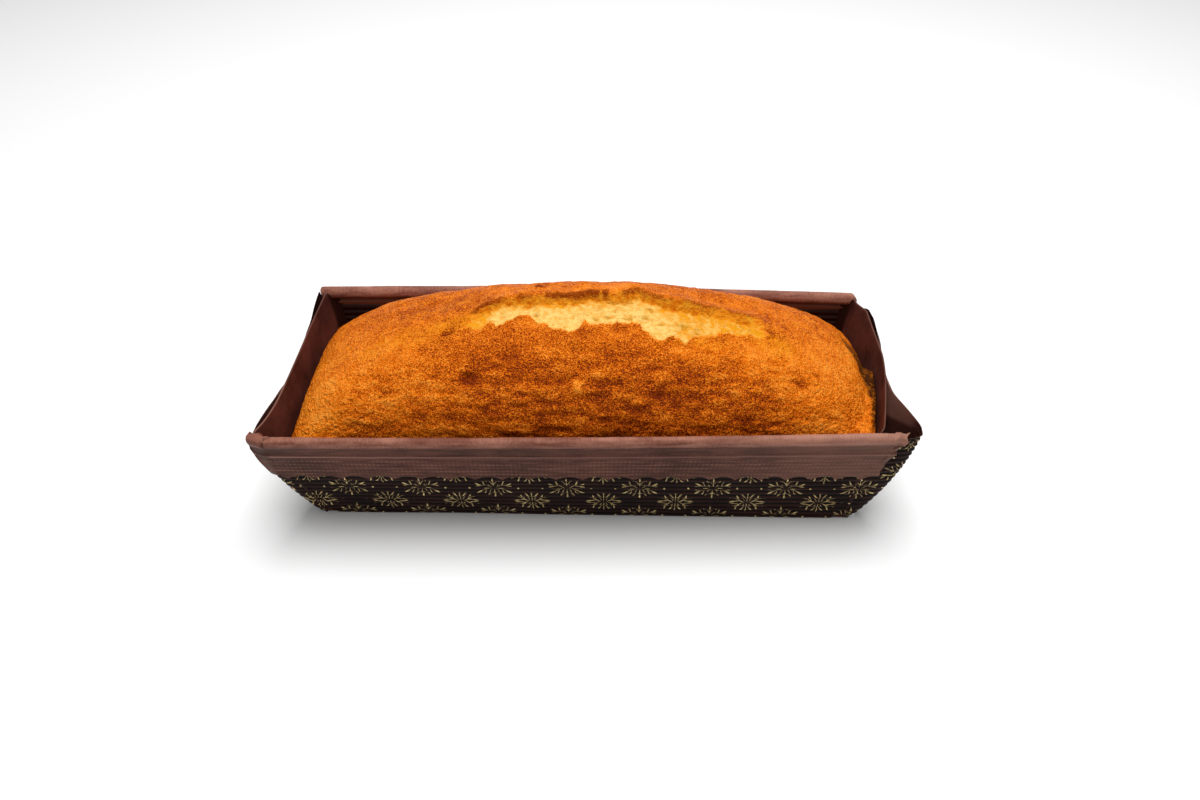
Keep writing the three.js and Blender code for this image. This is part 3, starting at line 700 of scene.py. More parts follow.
def tear(x, y):
    """The tear's relief and its masks. From the near crust's jagged edge the surface steps down to the crumb,
    slopes to the foot of the far crust, climbs it steeply and runs out over its lifted edge. The masks are
    the crumb, the torn wall, its toasted parts with painted shade under the far crust, how bare and pale the
    crumb is (less so towards the far crust's foot, as painted shade), and the clefts at the wall's foot,
    which are painted shadow."""
    flat = xyz(x, 0.0, 0.0)
    ragged = 0.7 * noise(flat, 1.8, 41) + 0.4 * noise(flat, 0.8, 42)
    wide = smoothstep(x, *TEAR_ENDS[0]) * (1 - smoothstep(x, *TEAR_ENDS[1]))
    near = np.interp(x, *NEAR_TEETH.T) + ragged * wide
    far = np.interp(x, *FAR_TEETH.T) + (0.8 * noise(flat, 3.6, 43) + 0.5 * noise(flat, 1.4, 44)) * wide
    far = np.maximum(far, near + 0.4)
    inward, beyond = y - near, y - far
    from_end = np.clip((x - TEAR_ENDS[0][0]) / TEAR_LENGTH, 0, 1)
    depth = TEAR_DEPTH * wide * (0.6 + 0.4 * np.sin(np.pi * from_end))
    step = smoothstep(inward, -0.12, 0.3)
    slope = np.clip(inward / (far - near), 0, 1) ** 1.3
    crumb_level = -(TEAR_STEP * wide * step + np.maximum(depth - TEAR_STEP, 0) * slope)
    width = SCARP_WIDTH * (1 + 0.5 * smoothstep(x, 18, 36) + 0.3 * noise(flat, 7, 47))
    climb = smoothstep(beyond, 0, width)
    lip = SCARP_LIP * wide * (1 + 0.5 * noise(flat, 9, 45)) * (1 - smoothstep(beyond - width, 0.3, 8))
    curl = 0.45 * wide * np.exp(-(inward / 2.6) ** 2) * (inward < 0.1)
    tips = smoothstep(wide + 0.35 * noise(xyz(x, y, 0.0), 2.2, 49), 0.15, 0.8)
    crumb = smoothstep(inward, -1.8, 0.3) * (1 - climb) * tips
    wall = smoothstep(beyond, -0.6, 0.7) * (1 - smoothstep(beyond, width - 1.5, width + 0.6)) * wide

    # the wall's top is toasted in stretches and carries painted shade under the overhanging far crust,
    # deepest in the middle of the tear, where it also reaches furthest down
    burnt_and_shaded = 0.8 + 0.3 * hump(x, 0 * x, (-1, 0), (17, 1)) + 0.45 * hump(x, 0 * x, (-40, 0), (7, 1))
    burnt_and_shaded = burnt_and_shaded * smoothstep(noise(flat, (5.5, 9, 9), 46) + 0.5 * noise(flat, (1.8, 9, 9), 48), -0.75, 0.3)
    below = 1.9 + 1.7 * hump(x, 0 * x, (6, 0), (13, 1))
    toast_and_shade = burnt_and_shaded * smoothstep(beyond, width - below, width - 0.8)
    toast_and_shade = toast_and_shade * wide * (1 - smoothstep(beyond, width + 0.2, width + 2.0))
    bare = smoothstep(x, -39, -29) * (1 - 0.65 * smoothstep(x, 22, 40) - 0.35 * smoothstep(x, 46, 60))
    # painted shade: the crumb is less pale towards the far crust's foot
    bare = bare * (1 - 0.6 * slope ** 3)
    # painted shadow: clefts at the wall's foot under the overhanging far crust, dug in and coloured as the
    # crumb's holes
    cleft = hump(x, beyond, (11, -0.3), (6, 0.55)) + 0.5 * hump(x, beyond, (-22, -0.2), (7, 0.5))
    return crumb_level * (1 - climb) + lip * climb + curl, crumb, wall, toast_and_shade, bare, cleft


def browning_and_shading(top, crust):
    """How far the crust has browned, from 0 for gold to 1 for dark brown, with painted light on two patches
    at the ends and, towards the dome's foot by the paper, darkening that is partly baked and partly painted
    shade.
    """
    x, y, z = top[..., 0], top[..., 1], top[..., 2]
    mottled = 0.5 + 0.5 * smoothstep(x, -84, -55) * (1 - smoothstep(x, 62, 86))
    level = 0.46 + 0.1 * noise(top, 15, 81) + mottled * (0.1 * noise(top, 6, 82) + 0.1 * noise(top, 2.8, 83))
    for middle, size, strength, turn in PATCHES:
        level = level + strength * hump(x, y, middle, size, turn)
    # darker near the front rim, and towards the dome's foot by the paper, partly baked and partly painted
    # shade
    level = level + 0.12 * smoothstep(-y, 31, 38) + 0.2 * (1 - smoothstep(z, 32, 39))
    return np.clip(level, 0, 1.2) * crust


def loaf(material):
    """The whole cake, closed: its domed crust on a grid that is finest along the tear, and its sides and
    bottom inside the case."""
    u, v = dome_stations()
    columns, rows = u.shape
    x, y = in_tray(u, v, CONTACT, CAKE_GAP)
    z = CONTACT + (CREST - CONTACT) * dome_share(u, v)

    # baked against the right end wall: a low, rough collar that the dome springs from
    from_wall = end_inner(1, y, 40 / WALL_REF) - CAKE_GAP - x
    collar_share = smoothstep(y, -37, -32) * (1 - smoothstep(y, 1, 16))
    place = xyz(x, y, z)
    collar = COLLAR_TOP + 0.6 * rough(place, 3, 51) - 3.0 * smoothstep(-from_wall, -3.4, 0)
    collar = lerp(CONTACT, collar, collar_share * smoothstep(x, 88, 96))
    on_collar = smoothstep(collar - z, -1.2, 0.6) * smoothstep(x, 88, 92) * collar_share
    z = np.maximum(z, collar)
    x, y = in_tray(u, v, lerp(CONTACT, z, on_collar), CAKE_GAP)

    # the crust's relief: broad waves, pebbles, ripples and wrinkles that run along the front, and the dents
    top = xyz(x, y, z)
    normal = outward(top)
    relief, crumb, wall, toast_and_shade, bare, cleft = tear(x, y)
    crust = 1 - crumb
    height = 0.4 * noise(top, 19, 61) + 0.28 * noise(top, 7, 62)
    pebbles = 0.14 * noise(top, 2.4, 63) + 0.14 * noise(top, 1.3, 64)
    crackle = 0.22 * np.abs(noise(top, (3.9, 2.8, 2.8), 65))
    ripple = 0.36 * noise(top, (6.5, 2.0, 1.8), 68) + 0.24 * noise(top, (3.6, 1.1, 1.0), 69)
    off_ends = smoothstep(x, -86, -58) * (1 - smoothstep(x, 70, 88))
    ripple = ripple * smoothstep(-y, 6, 28) * (0.3 + 0.7 * off_ends)
    crease = 1 - np.minimum(1, np.abs(noise(top, (8, 2.2, 1.8), 66)) * 9)
    wrinkle = smoothstep(-y, 17, 33) * crease * smoothstep(noise(top, (6, 5, 5), 67), -0.1, 0.6)
    height = height + crust * (pebbles - crackle + ripple - 0.2 * wrinkle)
    for middle, size, depth, turn in DENTS:
        height = height - depth * hump(x, y, middle, size, turn)

    # the crumb's holes and its torn grain, and the rough wall and collar
    holes = cleft + 0.7 * smoothstep(noise(top, (2.6, 1.9, 1.9), 76), 0.6, 0.8) * smoothstep(x, -2, 12)
    holes = holes + sum(hump(x, y, middle, size) for middle, size in CRUMB_HOLES)
    torn = 0.45 * noise(top, 4.2, 71) + 0.3 * noise(top, 1.9, 72) + 0.2 * noise(top, 1.0, 73) - 0.75 * holes
    height = height + crumb * torn + wall * 0.5 * rough(top, 2.6, 74, 2)
    height = height + on_collar * 0.5 * rough(top, 1.6, 75, 2)
    edge = np.minimum(1, dome_share(u, v) * 8 + 0.7 * on_collar * smoothstep(1 - np.abs(u), 0, 0.02))
    top = top + normal * (height * edge)[..., None]
    top[..., 2] += relief * edge

    # below the crust's edge the sides follow the paper down to the case's floor
    first = columns * rows
    index = np.arange(first).reshape(columns, rows)
    rim = np.concatenate([index[:-1, 0], index[-1, :-1], index[:0:-1, -1], index[0, :0:-1]])
    around = u.ravel()[rim], v.ravel()[rim]
    rings = [xyz(*in_tray(*around, ring, CAKE_GAP), ring) for ring in SIDE_RINGS]
    pole = first + len(rings) * len(rim)
    loops = [rim] + [first + k * len(rim) + np.arange(len(rim)) for k in range(len(rings))]
    loops = [np.append(loop, loop[0]) for loop in loops]
    sides = np.concatenate([strip_faces(a, b) for a, b in zip(loops[:-1], loops[1:])])
    last, poles = loops[-1], np.full(len(rim), pole)
    fan = np.stack([last[:-1], last[1:], poles, poles], axis=1)
    points = np.concatenate([top.reshape(-1, 3), *rings, [[0, 0, SIDE_RINGS[-1]]]])
    faces = np.concatenate([grid_faces(columns, rows), sides[:, ::-1], fan[:, [1, 0, 2, 3]]])
    if sixfold_volume(points, faces) < 0:
        triangles = (faces[:, 2] == faces[:, 3])[:, None]
        faces = np.where(triangles, faces[:, [1, 0, 2, 3]], faces[:, ::-1])

    # the dome's right side is dark against the paper, baked dark and with painted shade, and some of the
    # crust stayed golden
    shaded = np.interp(y, *COLLAR_LINE.T) + 0.9 * rough(place, 2.6, 52, 2)
    shaded = smoothstep(x - shaded + 0.5 * noise(top, 1.1, 53), -1.2, 1.0)
    shaded = shaded * (1 - 0.15 * smoothstep(y, -2, 9)) * (1 - smoothstep(y, 11, 18))
    golden = sum(share * hump(x, y, middle, size, turn) for middle, size, share, turn in GOLDEN)
    golden = golden + 0.2 * noise(top, 11, 84) + 0.15 * noise(top, 4, 85)
    fields = {
        "crumb": crumb, "crumb_pale": bare, "crumb_hole_shade": holes * crumb, "torn_wall": wall, "toasted_and_shaded": toast_and_shade,
        # crease: darker along the front's wrinkle creases, with painted shade in the ripples' valleys and
        # painted light on their crests
        "crease": (wrinkle - 2.2 * ripple) * crust, "golden": golden * crust,
        "browning_and_shading": browning_and_shading(top, crust), "side_crust_and_shade": shaded}
    hidden = {"browning_and_shading": HIDDEN_BROWNING, "side_crust_and_shade": 1.0}
    for key, values in fields.items():
        rest = np.full(len(points) - first, hidden.get(key, 0.0))
        fields[key] = np.concatenate([values.ravel(), rest])
    return make_piece("loaf", points, faces, [material], fields)


# ---- the cake's material ----

# the crust's colours as it browns from 0 to 1; the lightest also serve as the painted glints on the grain's
# tops
CRUST_COLOURS = (
    (0.0, "#ffa038"), (0.2, "#f47d10"), (0.42, "#e06c06"), (0.62, "#c05606"), (0.82, "#9a3c08"),
    (1.0, "#6c2408"))


def sponge_crust():
    """Oven-browned sponge crust with its torn crumb. The crust is finely pebbled, sugar-gold to brown, with a
    faint sheen; the glints on its pebbles and grain are painted lighter and their hollows painted darker as
    shade. The crumb is soft, matt and pale yellow with small holes."""
    material, tree = new_material("baked_sponge_crust_and_crumb")
    place = add(tree, "TexCoord", out="Object")
    mm = add(tree, "VectorMath", {0: place, "Scale": 1000.0}, operation="SCALE")
    field = {name: add(tree, "Attribute", out="Fac", attribute_name=name) for name in (
        "crumb", "crumb_pale", "crumb_hole_shade", "torn_wall", "toasted_and_shaded", "golden", "browning_and_shading", "side_crust_and_shade",
        "crease")}

    # pebbles of about 1 mm, the finer grain of sugar on them, and patches of a few millimetres
    pebble = add(tree, "TexNoise", {"Vector": mm, "Scale": 1 / 1.2, "Detail": 1.0, "Roughness": 0.5})
    grain = add(tree, "TexNoise", {"Vector": mm, "Scale": 1 / 0.45, "Detail": 2.0, "Roughness": 0.8})
    patch = add(tree, "TexNoise", {"Vector": mm, "Scale": 1 / 4.5, "Detail": 3.0, "Roughness": 0.62})
    # painted light and shade: the pebbles' and grain's tops are coloured lighter as glints, their hollows
    # darker as shade, over the grain's own specks
    pebble_shade = add(tree, "MapRange", [pebble, 0.3, 0.66, 0.09, -0.08])
    cloud = add(tree, "MapRange", [patch, 0.32, 0.68, -0.15, 0.15])
    level = field["browning_and_shading"]
    speck_and_glint = add(tree, "MapRange", [grain, 0.36, 0.64, 0.52, -0.52])
    depth = add(tree, "MapRange", [level, 0.28, 0.55, 0.7, 1.05])
    speck_and_glint = add(tree, "Math", [speck_and_glint, depth], operation="MULTIPLY")
    # the crease mark carries painted shade in the ripples' valleys and painted light on their crests
    crease = add(tree, "Math", [field["crease"], 0.3], operation="MULTIPLY")
    for part in (pebble_shade, speck_and_glint, cloud, crease):
        level = add(tree, "Math", [level, part], operation="ADD")
    crust = add(tree, "ValToRGB", [level], "Color")
    ramp = crust.node.color_ramp
    ramp.elements.remove(ramp.elements[1])
    ramp.elements[0].color = srgb(CRUST_COLOURS[0][1])
    for share, code in CRUST_COLOURS[1:]:
        ramp.elements.new(share).color = srgb(code)
    golden = add(tree, "MapRange", [field["golden"], 0.1, 0.9, 0.0, 0.75])
    unbaked = add(tree, "MapRange", [level, 0.75, 0.25])
    golden = add(tree, "Math", [golden, unbaked], operation="MULTIPLY")
    crust = add(tree, "Mix", {0: golden, 6: crust, 7: srgb("#ee9812")}, 2, data_type="RGBA")

    # the sides against the paper: dark, baked dark and with painted shade, with pale flecks where the skin
    # has lifted
    fleck = add(tree, "Math", [patch, pebble], operation="ADD")
    fleck = add(tree, "MapRange", [fleck, 1.03, 1.2])
    side = add(tree, "Mix", {0: fleck, 6: srgb("#48230a"), 7: srgb("#8e4e0b")}, 2, data_type="RGBA")
    crust = add(tree, "Mix", {0: field["side_crust_and_shade"], 6: crust, 7: side}, 2, data_type="RGBA")

    # the crumb: palest from X -29 to 22, less pale towards the ends and, as painted shade, towards the far
    # crust's foot; a darker olive in its holes and clefts, as painted shade; and frayed where it meets the
    # crust
    soft = add(tree, "TexNoise", {"Vector": mm, "Scale": 1 / 2.6, "Detail": 3.0, "Roughness": 0.6})
    soft = add(tree, "MapRange", [soft, 0.36, 0.64, -0.55, 0.3])
    pale = add(tree, "Math", [field["crumb_pale"], soft], operation="ADD")
    crumb = add(tree, "Mix", {0: pale, 6: srgb("#ea9a1a"), 7: srgb("#f8d178")}, 2, data_type="RGBA")
    crumb = add(tree, "Mix", {0: field["crumb_hole_shade"], 6: crumb, 7: srgb("#c98e20")}, 2, data_type="RGBA")
    grit = add(tree, "MapRange", [grain, 0.36, 0.64, 0.45, -0.45])
    frayed = add(tree, "Math", [pebble, 0.3], operation="SUBTRACT")
    frayed = add(tree, "Math", [frayed, 1.6, field["crumb"]], operation="MULTIPLY_ADD")
    frayed = add(tree, "Math", [grit, 0.7, frayed], operation="MULTIPLY_ADD")
    frayed = add(tree, "MapRange", [frayed, 0.85, 1.15])
    in_tear = add(tree, "MapRange", [field["crumb"], 0.0, 0.2])
    frayed = add(tree, "Math", [frayed, in_tear], operation="MULTIPLY")
    colour = add(tree, "Mix", {0: frayed, 6: crust, 7: crumb}, 2, data_type="RGBA")

    # the torn wall behind it, toasted at its top and darkened there by painted shade under the far crust
    wall = add(tree, "MapRange", [soft, -0.55, 0.3])
    wall = add(tree, "Mix", {0: wall, 6: srgb("#da7406"), 7: srgb("#f0a024")}, 2, data_type="RGBA")
    for share, bite, over in ((field["torn_wall"], 0.5, wall), (field["toasted_and_shaded"], 1.0, srgb("#923c04"))):
        bitten = add(tree, "Math", [grit, bite, share], operation="MULTIPLY_ADD")
        bitten = add(tree, "Math", [bitten, share], operation="MULTIPLY", use_clamp=True)
        colour = add(tree, "Mix", {0: bitten, 6: colour, 7: over}, 2, data_type="RGBA")

    relief = add(tree, "Math", [grain, 0.5, pebble], operation="MULTIPLY_ADD")
    bump = add(tree, "Bump", {"Strength": 1.0, "Distance": 0.0013, "Height": relief})
    dull = add(tree, "MapRange", [field["crumb"], 0.0, 1.0, 0.5, 0.9])
    shader = add(tree, "BsdfPrincipled", {
        "Base Color": colour, "Roughness": dull, "Normal": bump, "Specular IOR Level": 0.04})
    add(tree, "OutputMaterial", {"Surface": shader})
    return material


# ---- materials of the paper ----

# the lattice of the bursts, along and up the sheet, and how much it is squeezed under a burst, so that each
# burst is a little wider than it is high
BURST_PITCH = (25.9, 17.0)
BURST_MIDDLE = (-7.0, 17.3)
BURST_SQUEEZE = (0.9, 1.16)

# the leaves on one half of a ray: middle, turn in degrees, half length and half width
RAY_LEAVES = (
    ((2.9, 0), 0, (2.1, 0.12)), ((5.5, 0), 0, (1.1, 0.24)), ((3.6, 0.75), 40, (1.0, 0.1)),
    ((4.7, 1.65), 40, (0.9, 0.22)), ((2.0, 1.15), 30, (0.9, 0.09)))
SIDE_DOT = ((7.8, 0), 0, (0.33, 0.33))

# the lining's pressed dashes and ribs, in millimetres apart
DASH_PITCH = 1.5
DASH_ROWS = 1.7
RIB_PITCH = 0.9


def leaf(tree, along, across, middle, turn, size):
    """A leaf of the printed burst: 1 inside an ellipse of half length and half width size, turned by
    degrees. It sums the squares of the two distances from its middle, each in half sizes."""
    c, s = math.cos(math.radians(turn)), math.sin(math.radians(turn))
    total = 0.0
    for a, b, half in ((c, s, size[0]), (-s, c, size[1])):
        off = add(tree, "Math", [along, a, -a * middle[0] - b * middle[1]], operation="MULTIPLY_ADD")
        off = add(tree, "Math", [across, b, off], operation="MULTIPLY_ADD")
        off = add(tree, "Math", [off, 1 / half], operation="MULTIPLY")
        total = add(tree, "Math", [off, off, total], operation="MULTIPLY_ADD")
    return add(tree, "MapRange", [total, 1.2, 0.65])


def burst_print(tree, place):
    """How much gold ink lies at a place on the sheet in millimetres: six-rayed bursts of leaves on a
    half-drop lattice, each ray mirrored about its axis, with a dot to each side."""
    # the lattice twice, the second time half a step on in both directions, and the nearer burst of the two
    nearest, distance = None, None
    squeezed = [p * q for p, q in zip(BURST_PITCH, BURST_SQUEEZE)]
    for shift in (0.5, 1.0):
        cell = [shift * p - m for m, p in zip(BURST_MIDDLE, BURST_PITCH)]
        at = add(tree, "VectorMath", [place, (*cell, 0)], operation="ADD")
        at = add(tree, "VectorMath", [at, (*BURST_PITCH, 1)], operation="DIVIDE")
        at = add(tree, "VectorMath", [at], operation="FRACTION")
        at = add(tree, "VectorMath", [at, (0.5, 0.5, 0)], operation="SUBTRACT")
        at = add(tree, "VectorMath", [at, (*squeezed, 0)], operation="MULTIPLY")
        r = add(tree, "VectorMath", [at], "Value", operation="LENGTH")
        if nearest is None:
            nearest, distance = at, r
        else:
            closer = add(tree, "Math", [r, distance], operation="LESS_THAN")
            nearest = add(tree, "Mix", {0: closer, 4: nearest, 5: at}, 1, data_type="VECTOR")
            distance = add(tree, "Math", [r, distance], operation="MINIMUM")
    x, y = (add(tree, "SeparateXYZ", [nearest], axis) for axis in "XY")

    # the angle to the nearest ray, then the distances along that ray and across it
    turn = add(tree, "Math", [y, x], operation="ARCTAN2")
    turn = add(tree, "Math", [turn, 3 / math.pi, 6.0], operation="MULTIPLY_ADD")
    turn = add(tree, "Math", [turn], operation="FRACT")
    turn = add(tree, "Math", [turn, 0.5], operation="SUBTRACT")
    turn = add(tree, "Math", [turn], operation="ABSOLUTE")
    turn = add(tree, "Math", [turn, math.pi / 3], operation="MULTIPLY")
    cosine = add(tree, "Math", [turn], operation="COSINE")
    sine = add(tree, "Math", [turn], operation="SINE")
    along = add(tree, "Math", [distance, cosine], operation="MULTIPLY")
    across = add(tree, "Math", [distance, sine], operation="MULTIPLY")
    beside = add(tree, "Math", [x], operation="ABSOLUTE")
    ink = leaf(tree, beside, y, *SIDE_DOT)
    for ray_leaf in RAY_LEAVES:
        ink = add(tree, "Math", [ink, leaf(tree, along, across, *ray_leaf)], operation="MAXIMUM")
    return ink


def printed_paper():
    """Fluted baking paper, dyed dark brown and printed with dull gold ink: matt between the flutes, the ink
    slightly metallic. The flutes' grooves are painted near black as shade, and the ink is painted fainter
    where it crosses one."""
    material, tree = new_material("printed_fluted_baking_paper")
    place = add(tree, "Attribute", out="Vector", attribute_name="sheet_mm")
    groove_shade = add(tree, "Attribute", out="Fac", attribute_name="groove_shade")
    groove_shade = add(tree, "MapRange", [groove_shade, 0.3, 0.85])
    fibre = add(tree, "TexNoise", {"Vector": place, "Scale": 1 / 1.2, "Detail": 4.0, "Roughness": 0.6})
    wear_and_highlight = add(tree, "MapRange", [fibre, 0.35, 0.6, 0.5, 1.0])
    # painted shade: the ink is painted fainter in the grooves
    groove_ink_shade = add(tree, "MapRange", [groove_shade, 0.0, 1.0, 1.0, 0.5])
    ink = add(tree, "Math", [burst_print(tree, place), wear_and_highlight], operation="MULTIPLY")
    ink = add(tree, "Math", [ink, groove_ink_shade], operation="MULTIPLY")
    blotch = add(tree, "TexNoise", {"Vector": place, "Scale": 1 / 16, "Detail": 2.0})
    dye = add(tree, "MapRange", [blotch, 0.35, 0.65])
    ground = add(tree, "Mix", {0: dye, 6: srgb("#22100c"), 7: srgb("#351c15")}, 2, data_type="RGBA")
    # painted shade: the grooves between the flutes darken to near black
    ground = add(tree, "Mix", {0: groove_shade, 6: ground, 7: srgb("#060201")}, 2, data_type="RGBA")
    gold = add(tree, "Mix", {0: dye, 6: srgb("#dcbe82"), 7: srgb("#f8de9e")}, 2, data_type="RGBA")
    colour = add(tree, "Mix", {0: ink, 6: ground, 7: gold}, 2, data_type="RGBA")
    metal = add(tree, "Math", [ink, 0.3], operation="MULTIPLY")
    gloss = add(tree, "MapRange", [ink, 0.0, 1.0, 0.6, 0.42])
    bump = add(tree, "Bump", {"Strength": 0.25, "Distance": 0.0002, "Height": fibre})
    shader = add(tree, "BsdfPrincipled", {
        "Base Color": colour, "Roughness": gloss, "Metallic": metal, "Normal": bump,
        "Specular IOR Level": 0.12})
    add(tree, "OutputMaterial", {"Surface": shader})
    return material


def plain_paper(name, dark, light):
    """The unprinted face of the baking paper, dyed through: matt and faintly blotched, darkened by painted
    shade where its sheet marks it, and paler along its top edges and where a painted highlight is marked."""
    material, tree = new_material(name)
    place = add(tree, "Attribute", out="Vector", attribute_name="sheet_mm")
    fibre = add(tree, "TexNoise", {"Vector": place, "Scale": 1 / 1.5, "Detail": 4.0, "Roughness": 0.6})
    blotch = add(tree, "TexNoise", {"Vector": place, "Scale": 1 / 11, "Detail": 5.0, "Roughness": 0.65})
    dye = add(tree, "MapRange", [blotch, 0.34, 0.66])
    colour = add(tree, "Mix", {0: dye, 6: srgb(dark), 7: srgb(light)}, 2, data_type="RGBA")
    # 240f0b is painted shade; #80584a is painted highlight and paler edges
    for mark, code in (("painted_shade", "#240f0b"), ("pale_edge_and_highlight", "#80584a")):
        share = add(tree, "Attribute", out="Fac", attribute_name=mark)
        colour = add(tree, "Mix", {0: share, 6: colour, 7: srgb(code)}, 2, data_type="RGBA")
    bump = add(tree, "Bump", {"Strength": 0.25, "Distance": 0.0002, "Height": fibre})
    shader = add(tree, "BsdfPrincipled", {
        "Base Color": colour, "Roughness": 0.55, "Normal": bump, "Specular IOR Level": 0.12})
    add(tree, "OutputMaterial", {"Surface": shader})
    return material


def lining_paper():
    """The case's lining where it is turned over the rim: a smooth brown paper pressed with rows of short
    dashes, with a faint, even texture on the band. The roll is painted pale as the lit paper and the band
    darker as the same paper in shade, standing in for a soft sheen on the roll."""
    material, tree = new_material("pressed_lining_paper")
    place = add(tree, "Attribute", out="Vector", attribute_name="sheet_mm")
    along, height, layer = (add(tree, "SeparateXYZ", [place], axis) for axis in "XYZ")
    fibre = add(tree, "TexNoise", {"Vector": place, "Scale": 1 / 0.9, "Detail": 4.0, "Roughness": 0.65})
    drawn_out = add(tree, "VectorMath", [place, (0.12, 1.0, 1.0)], operation="MULTIPLY")
    streak = add(tree, "TexNoise", {"Vector": drawn_out, "Scale": 1 / 1.3, "Detail": 3.0})
    blotch = add(tree, "TexNoise", {"Vector": place, "Scale": 1 / 22, "Detail": 2.0})
    dye = add(tree, "Math", [streak, blotch], operation="ADD")
    dye = add(tree, "Math", [fibre, 0.6, dye], operation="MULTIPLY_ADD")
    dye = add(tree, "MapRange", [dye, 1.1, 1.5])

    # painted light and shade: the roll is coloured as lit paper and the paper below it as the same paper in
    # shade; the front rim's paper turns paler towards its right end
    paler_to_right_end = add(tree, "MapRange", [along, -75.0, 0.0, 0.0, 0.34])
    at_front = add(tree, "MapRange", [layer, 0.0, -20.0, 0.15, 1.0])
    paler_to_right_end = add(tree, "Math", [paler_to_right_end, at_front], operation="MULTIPLY")
    roll = add(tree, "Mix", {0: dye, 6: srgb("#734436"), 7: srgb("#9f6b59")}, 2, data_type="RGBA")
    roll = add(tree, "Mix", {0: paler_to_right_end, 6: roll, 7: srgb("#b98a78")}, 2, data_type="RGBA")
    band = add(tree, "Mix", {0: dye, 6: srgb("#3c2118"), 7: srgb("#573328")}, 2, data_type="RGBA")
    # painted shade: the roll's lower side turns to the band's shaded colour
    low = add(tree, "MapRange", [height, 43.7, 42.6, 0.0, 0.88])
    colour = add(tree, "Mix", {0: low, 6: roll, 7: band}, 2, data_type="RGBA")
    paler_overall_to_right = add(tree, "Math", [paler_to_right_end, 0.5], operation="MULTIPLY")
    colour = add(tree, "Mix", {0: paler_overall_to_right, 6: colour, 7: srgb("#a87b68")}, 2, data_type="RGBA")

    # painted highlight and shade: the ledge over the band is painted pale as a highlight, most towards the
    # left end, and the mitred fold is painted dark as shade in its crease
    off_ledge = add(tree, "Math", [height, 37.45], operation="SUBTRACT")
    off_ledge = add(tree, "Math", [off_ledge], operation="ABSOLUTE")
    ledge = add(tree, "MapRange", [off_ledge, 0.25, 0.6, 1.0, 0.0])
    wear_and_highlight = add(tree, "MapRange", [along, -215.0, -110.0, 0.9, 0.4])
    wear_and_highlight = add(tree, "Math", [ledge, wear_and_highlight], operation="MULTIPLY")
    colour = add(tree, "Mix", {0: wear_and_highlight, 6: colour, 7: srgb("#94695c")}, 2, data_type="RGBA")
    fold = add(tree, "Attribute", out="Fac", attribute_name="fold")
    fold = add(tree, "Math", [fold, 0.8], operation="MULTIPLY")
    colour = add(tree, "Mix", {0: fold, 6: colour, 7: srgb("#3a1d15")}, 2, data_type="RGBA")

    # rows of short dashes on the band, and fine ribs across the roll, each a sine of the place
    waves = []
    for value, pitch in ((along, DASH_PITCH), (height, DASH_ROWS), (along, RIB_PITCH)):
        wave = add(tree, "Math", [value, 2 * math.pi / pitch], operation="MULTIPLY")
        waves.append(add(tree, "Math", [wave], operation="SINE"))
    dash_along = add(tree, "MapRange", [waves[0], -0.5, 0.6, 0.2, 1.0])
    dash_up = add(tree, "MapRange", [waves[1], 0.1, 0.8])
    on_band = add(tree, "MapRange", [height, 36.5, 35.0])
    dashes = add(tree, "Math", [dash_along, dash_up], operation="MULTIPLY")
    dashes = add(tree, "Math", [dashes, on_band], operation="MULTIPLY")
    faint = add(tree, "MapRange", [streak, 0.4, 0.62, 0.06, 0.42])
    faint = add(tree, "Math", [dashes, faint], operation="MULTIPLY")
    colour = add(tree, "Mix", {0: faint, 6: colour, 7: srgb("#9a7060")}, 2, data_type="RGBA")
    on_roll = add(tree, "MapRange", [height, 41.5, 42.5, 0.0, 0.3])
    ribs = add(tree, "Math", [waves[2], on_roll], operation="MULTIPLY")

    relief = add(tree, "Math", [fibre, 0.35, dashes], operation="MULTIPLY_ADD")
    relief = add(tree, "Math", [relief, ribs], operation="ADD")
    bump = add(tree, "Bump", {"Strength": 0.5, "Distance": 0.00025, "Height": relief})
    shader = add(tree, "BsdfPrincipled", {
        "Base Color": colour, "Roughness": 0.5, "Normal": bump, "Specular IOR Level": 0.12})
    add(tree, "OutputMaterial", {"Surface": shader})
    return material


# ---- the object ----

crust = sponge_crust()
printed = printed_paper()
inside = plain_paper("dyed_baking_paper_inside", "#3d1f1a", "#5e342c")
# painted shade: a darker copy of the inside paper, for the back wall's inside
painted_shade = plain_paper("shade_darkened_baking_paper_inside", "#200d09", "#2c130d")
lining = lining_paper()

cake = loaf(crust)
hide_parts("cake")
case_pieces = [
    long_sheet(-1, [printed, inside]), long_sheet(1, [printed, painted_shade]), end_sheet(-1, [printed, inside]),
    end_sheet(1, [printed, inside]), floor_sheet([printed, inside])]
for piece in case_pieces:
    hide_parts("paper_case")
for side, node in ((-1, "turned_rim_front"), (1, "turned_rim_back")):
    piece = turned_rim(side, [lining])
    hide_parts(node)


# ---- floor, light and camera, in metres ----
FLOOR_RADIUS = 4.0
FLOOR_LOW = -0.0002
SOFTBOX_PLACE = (0.05, 0.12, 1.05)
SOFTBOX_AIM = (0, 0, 0.04)
SOFTBOX_SIZE = 0.75
SOFTBOX_POWER = 13.2
ROOM_LIGHT = 0.35

# the camera looks down at the loaf's front, a little from the right
CAMERA_TARGET = (0.00526, 0.0, 0.02569)
CAMERA_DISTANCE = 0.3152
CAMERA_DOWN = math.radians(42.93)
CAMERA_YAW = math.radians(0.95)
CAMERA_LENS = 24.84


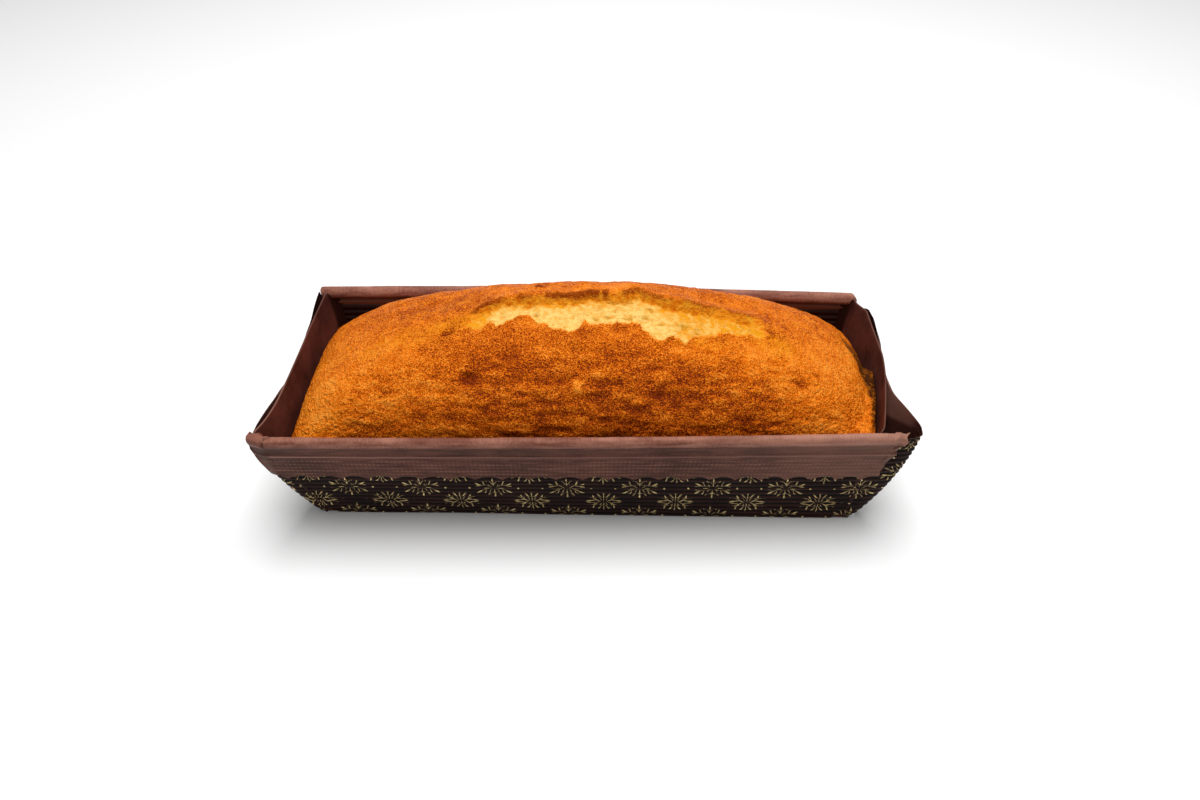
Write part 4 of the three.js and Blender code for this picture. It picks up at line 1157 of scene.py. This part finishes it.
def put_in_scene(name, data):
    """A new object in the scene for a mesh, a light or a camera."""
    item = bpy.data.objects.new(name, data)
    bpy.context.scene.collection.objects.link(item)
    return item


# a plain pale matt floor, a disc
turn = np.linspace(0, 2 * np.pi, 97)[:-1]
rim = xyz(FLOOR_RADIUS * np.cos(turn), FLOOR_RADIUS * np.sin(turn), FLOOR_LOW)
floor_mesh = bpy.data.meshes.new("studio_floor")
floor_mesh.from_pydata(rim.tolist(), [], [list(range(len(rim)))])
pale, pale_tree = new_material("pale_studio_floor")
matt = add(pale_tree, "BsdfDiffuse", {"Color": (0.86, 0.86, 0.86, 1.0)})
add(pale_tree, "OutputMaterial", {"Surface": matt})
floor_mesh.materials.append(pale)
put_in_scene("studio_floor", floor_mesh)

# a square soft box above the loaf's back
light = bpy.data.lights.new("top_softbox", "AREA")
light.size = SOFTBOX_SIZE
light.energy = SOFTBOX_POWER
lamp = put_in_scene("top_softbox", light)
lamp.location = SOFTBOX_PLACE
back_x, back_y, back_z = np.array(SOFTBOX_PLACE) - np.array(SOFTBOX_AIM)
lamp.rotation_euler = (
    math.atan2(math.hypot(back_x, back_y), back_z), 0, math.atan2(back_y, back_x) + math.pi / 2)

world = bpy.data.worlds.new("pale_room")
world.use_nodes = True
world.node_tree.nodes["Background"].inputs["Color"].default_value = (1, 1, 1, 1)
world.node_tree.nodes["Background"].inputs["Strength"].default_value = ROOM_LIGHT
bpy.context.scene.world = world
bpy.context.scene.view_settings.view_transform = "Standard"

lens = bpy.data.cameras.new("studio_camera")
lens.sensor_width = 36.0
lens.lens = CAMERA_LENS
lens.clip_start = 0.01
camera = put_in_scene("studio_camera", lens)
flat = math.cos(CAMERA_DOWN)
away = (math.sin(CAMERA_YAW) * flat, -math.cos(CAMERA_YAW) * flat, math.sin(CAMERA_DOWN))
camera.location = [t + CAMERA_DISTANCE * a for t, a in zip(CAMERA_TARGET, away)]
camera.rotation_euler = (math.pi / 2 - CAMERA_DOWN, 0, CAMERA_YAW)
bpy.context.scene.camera = camera
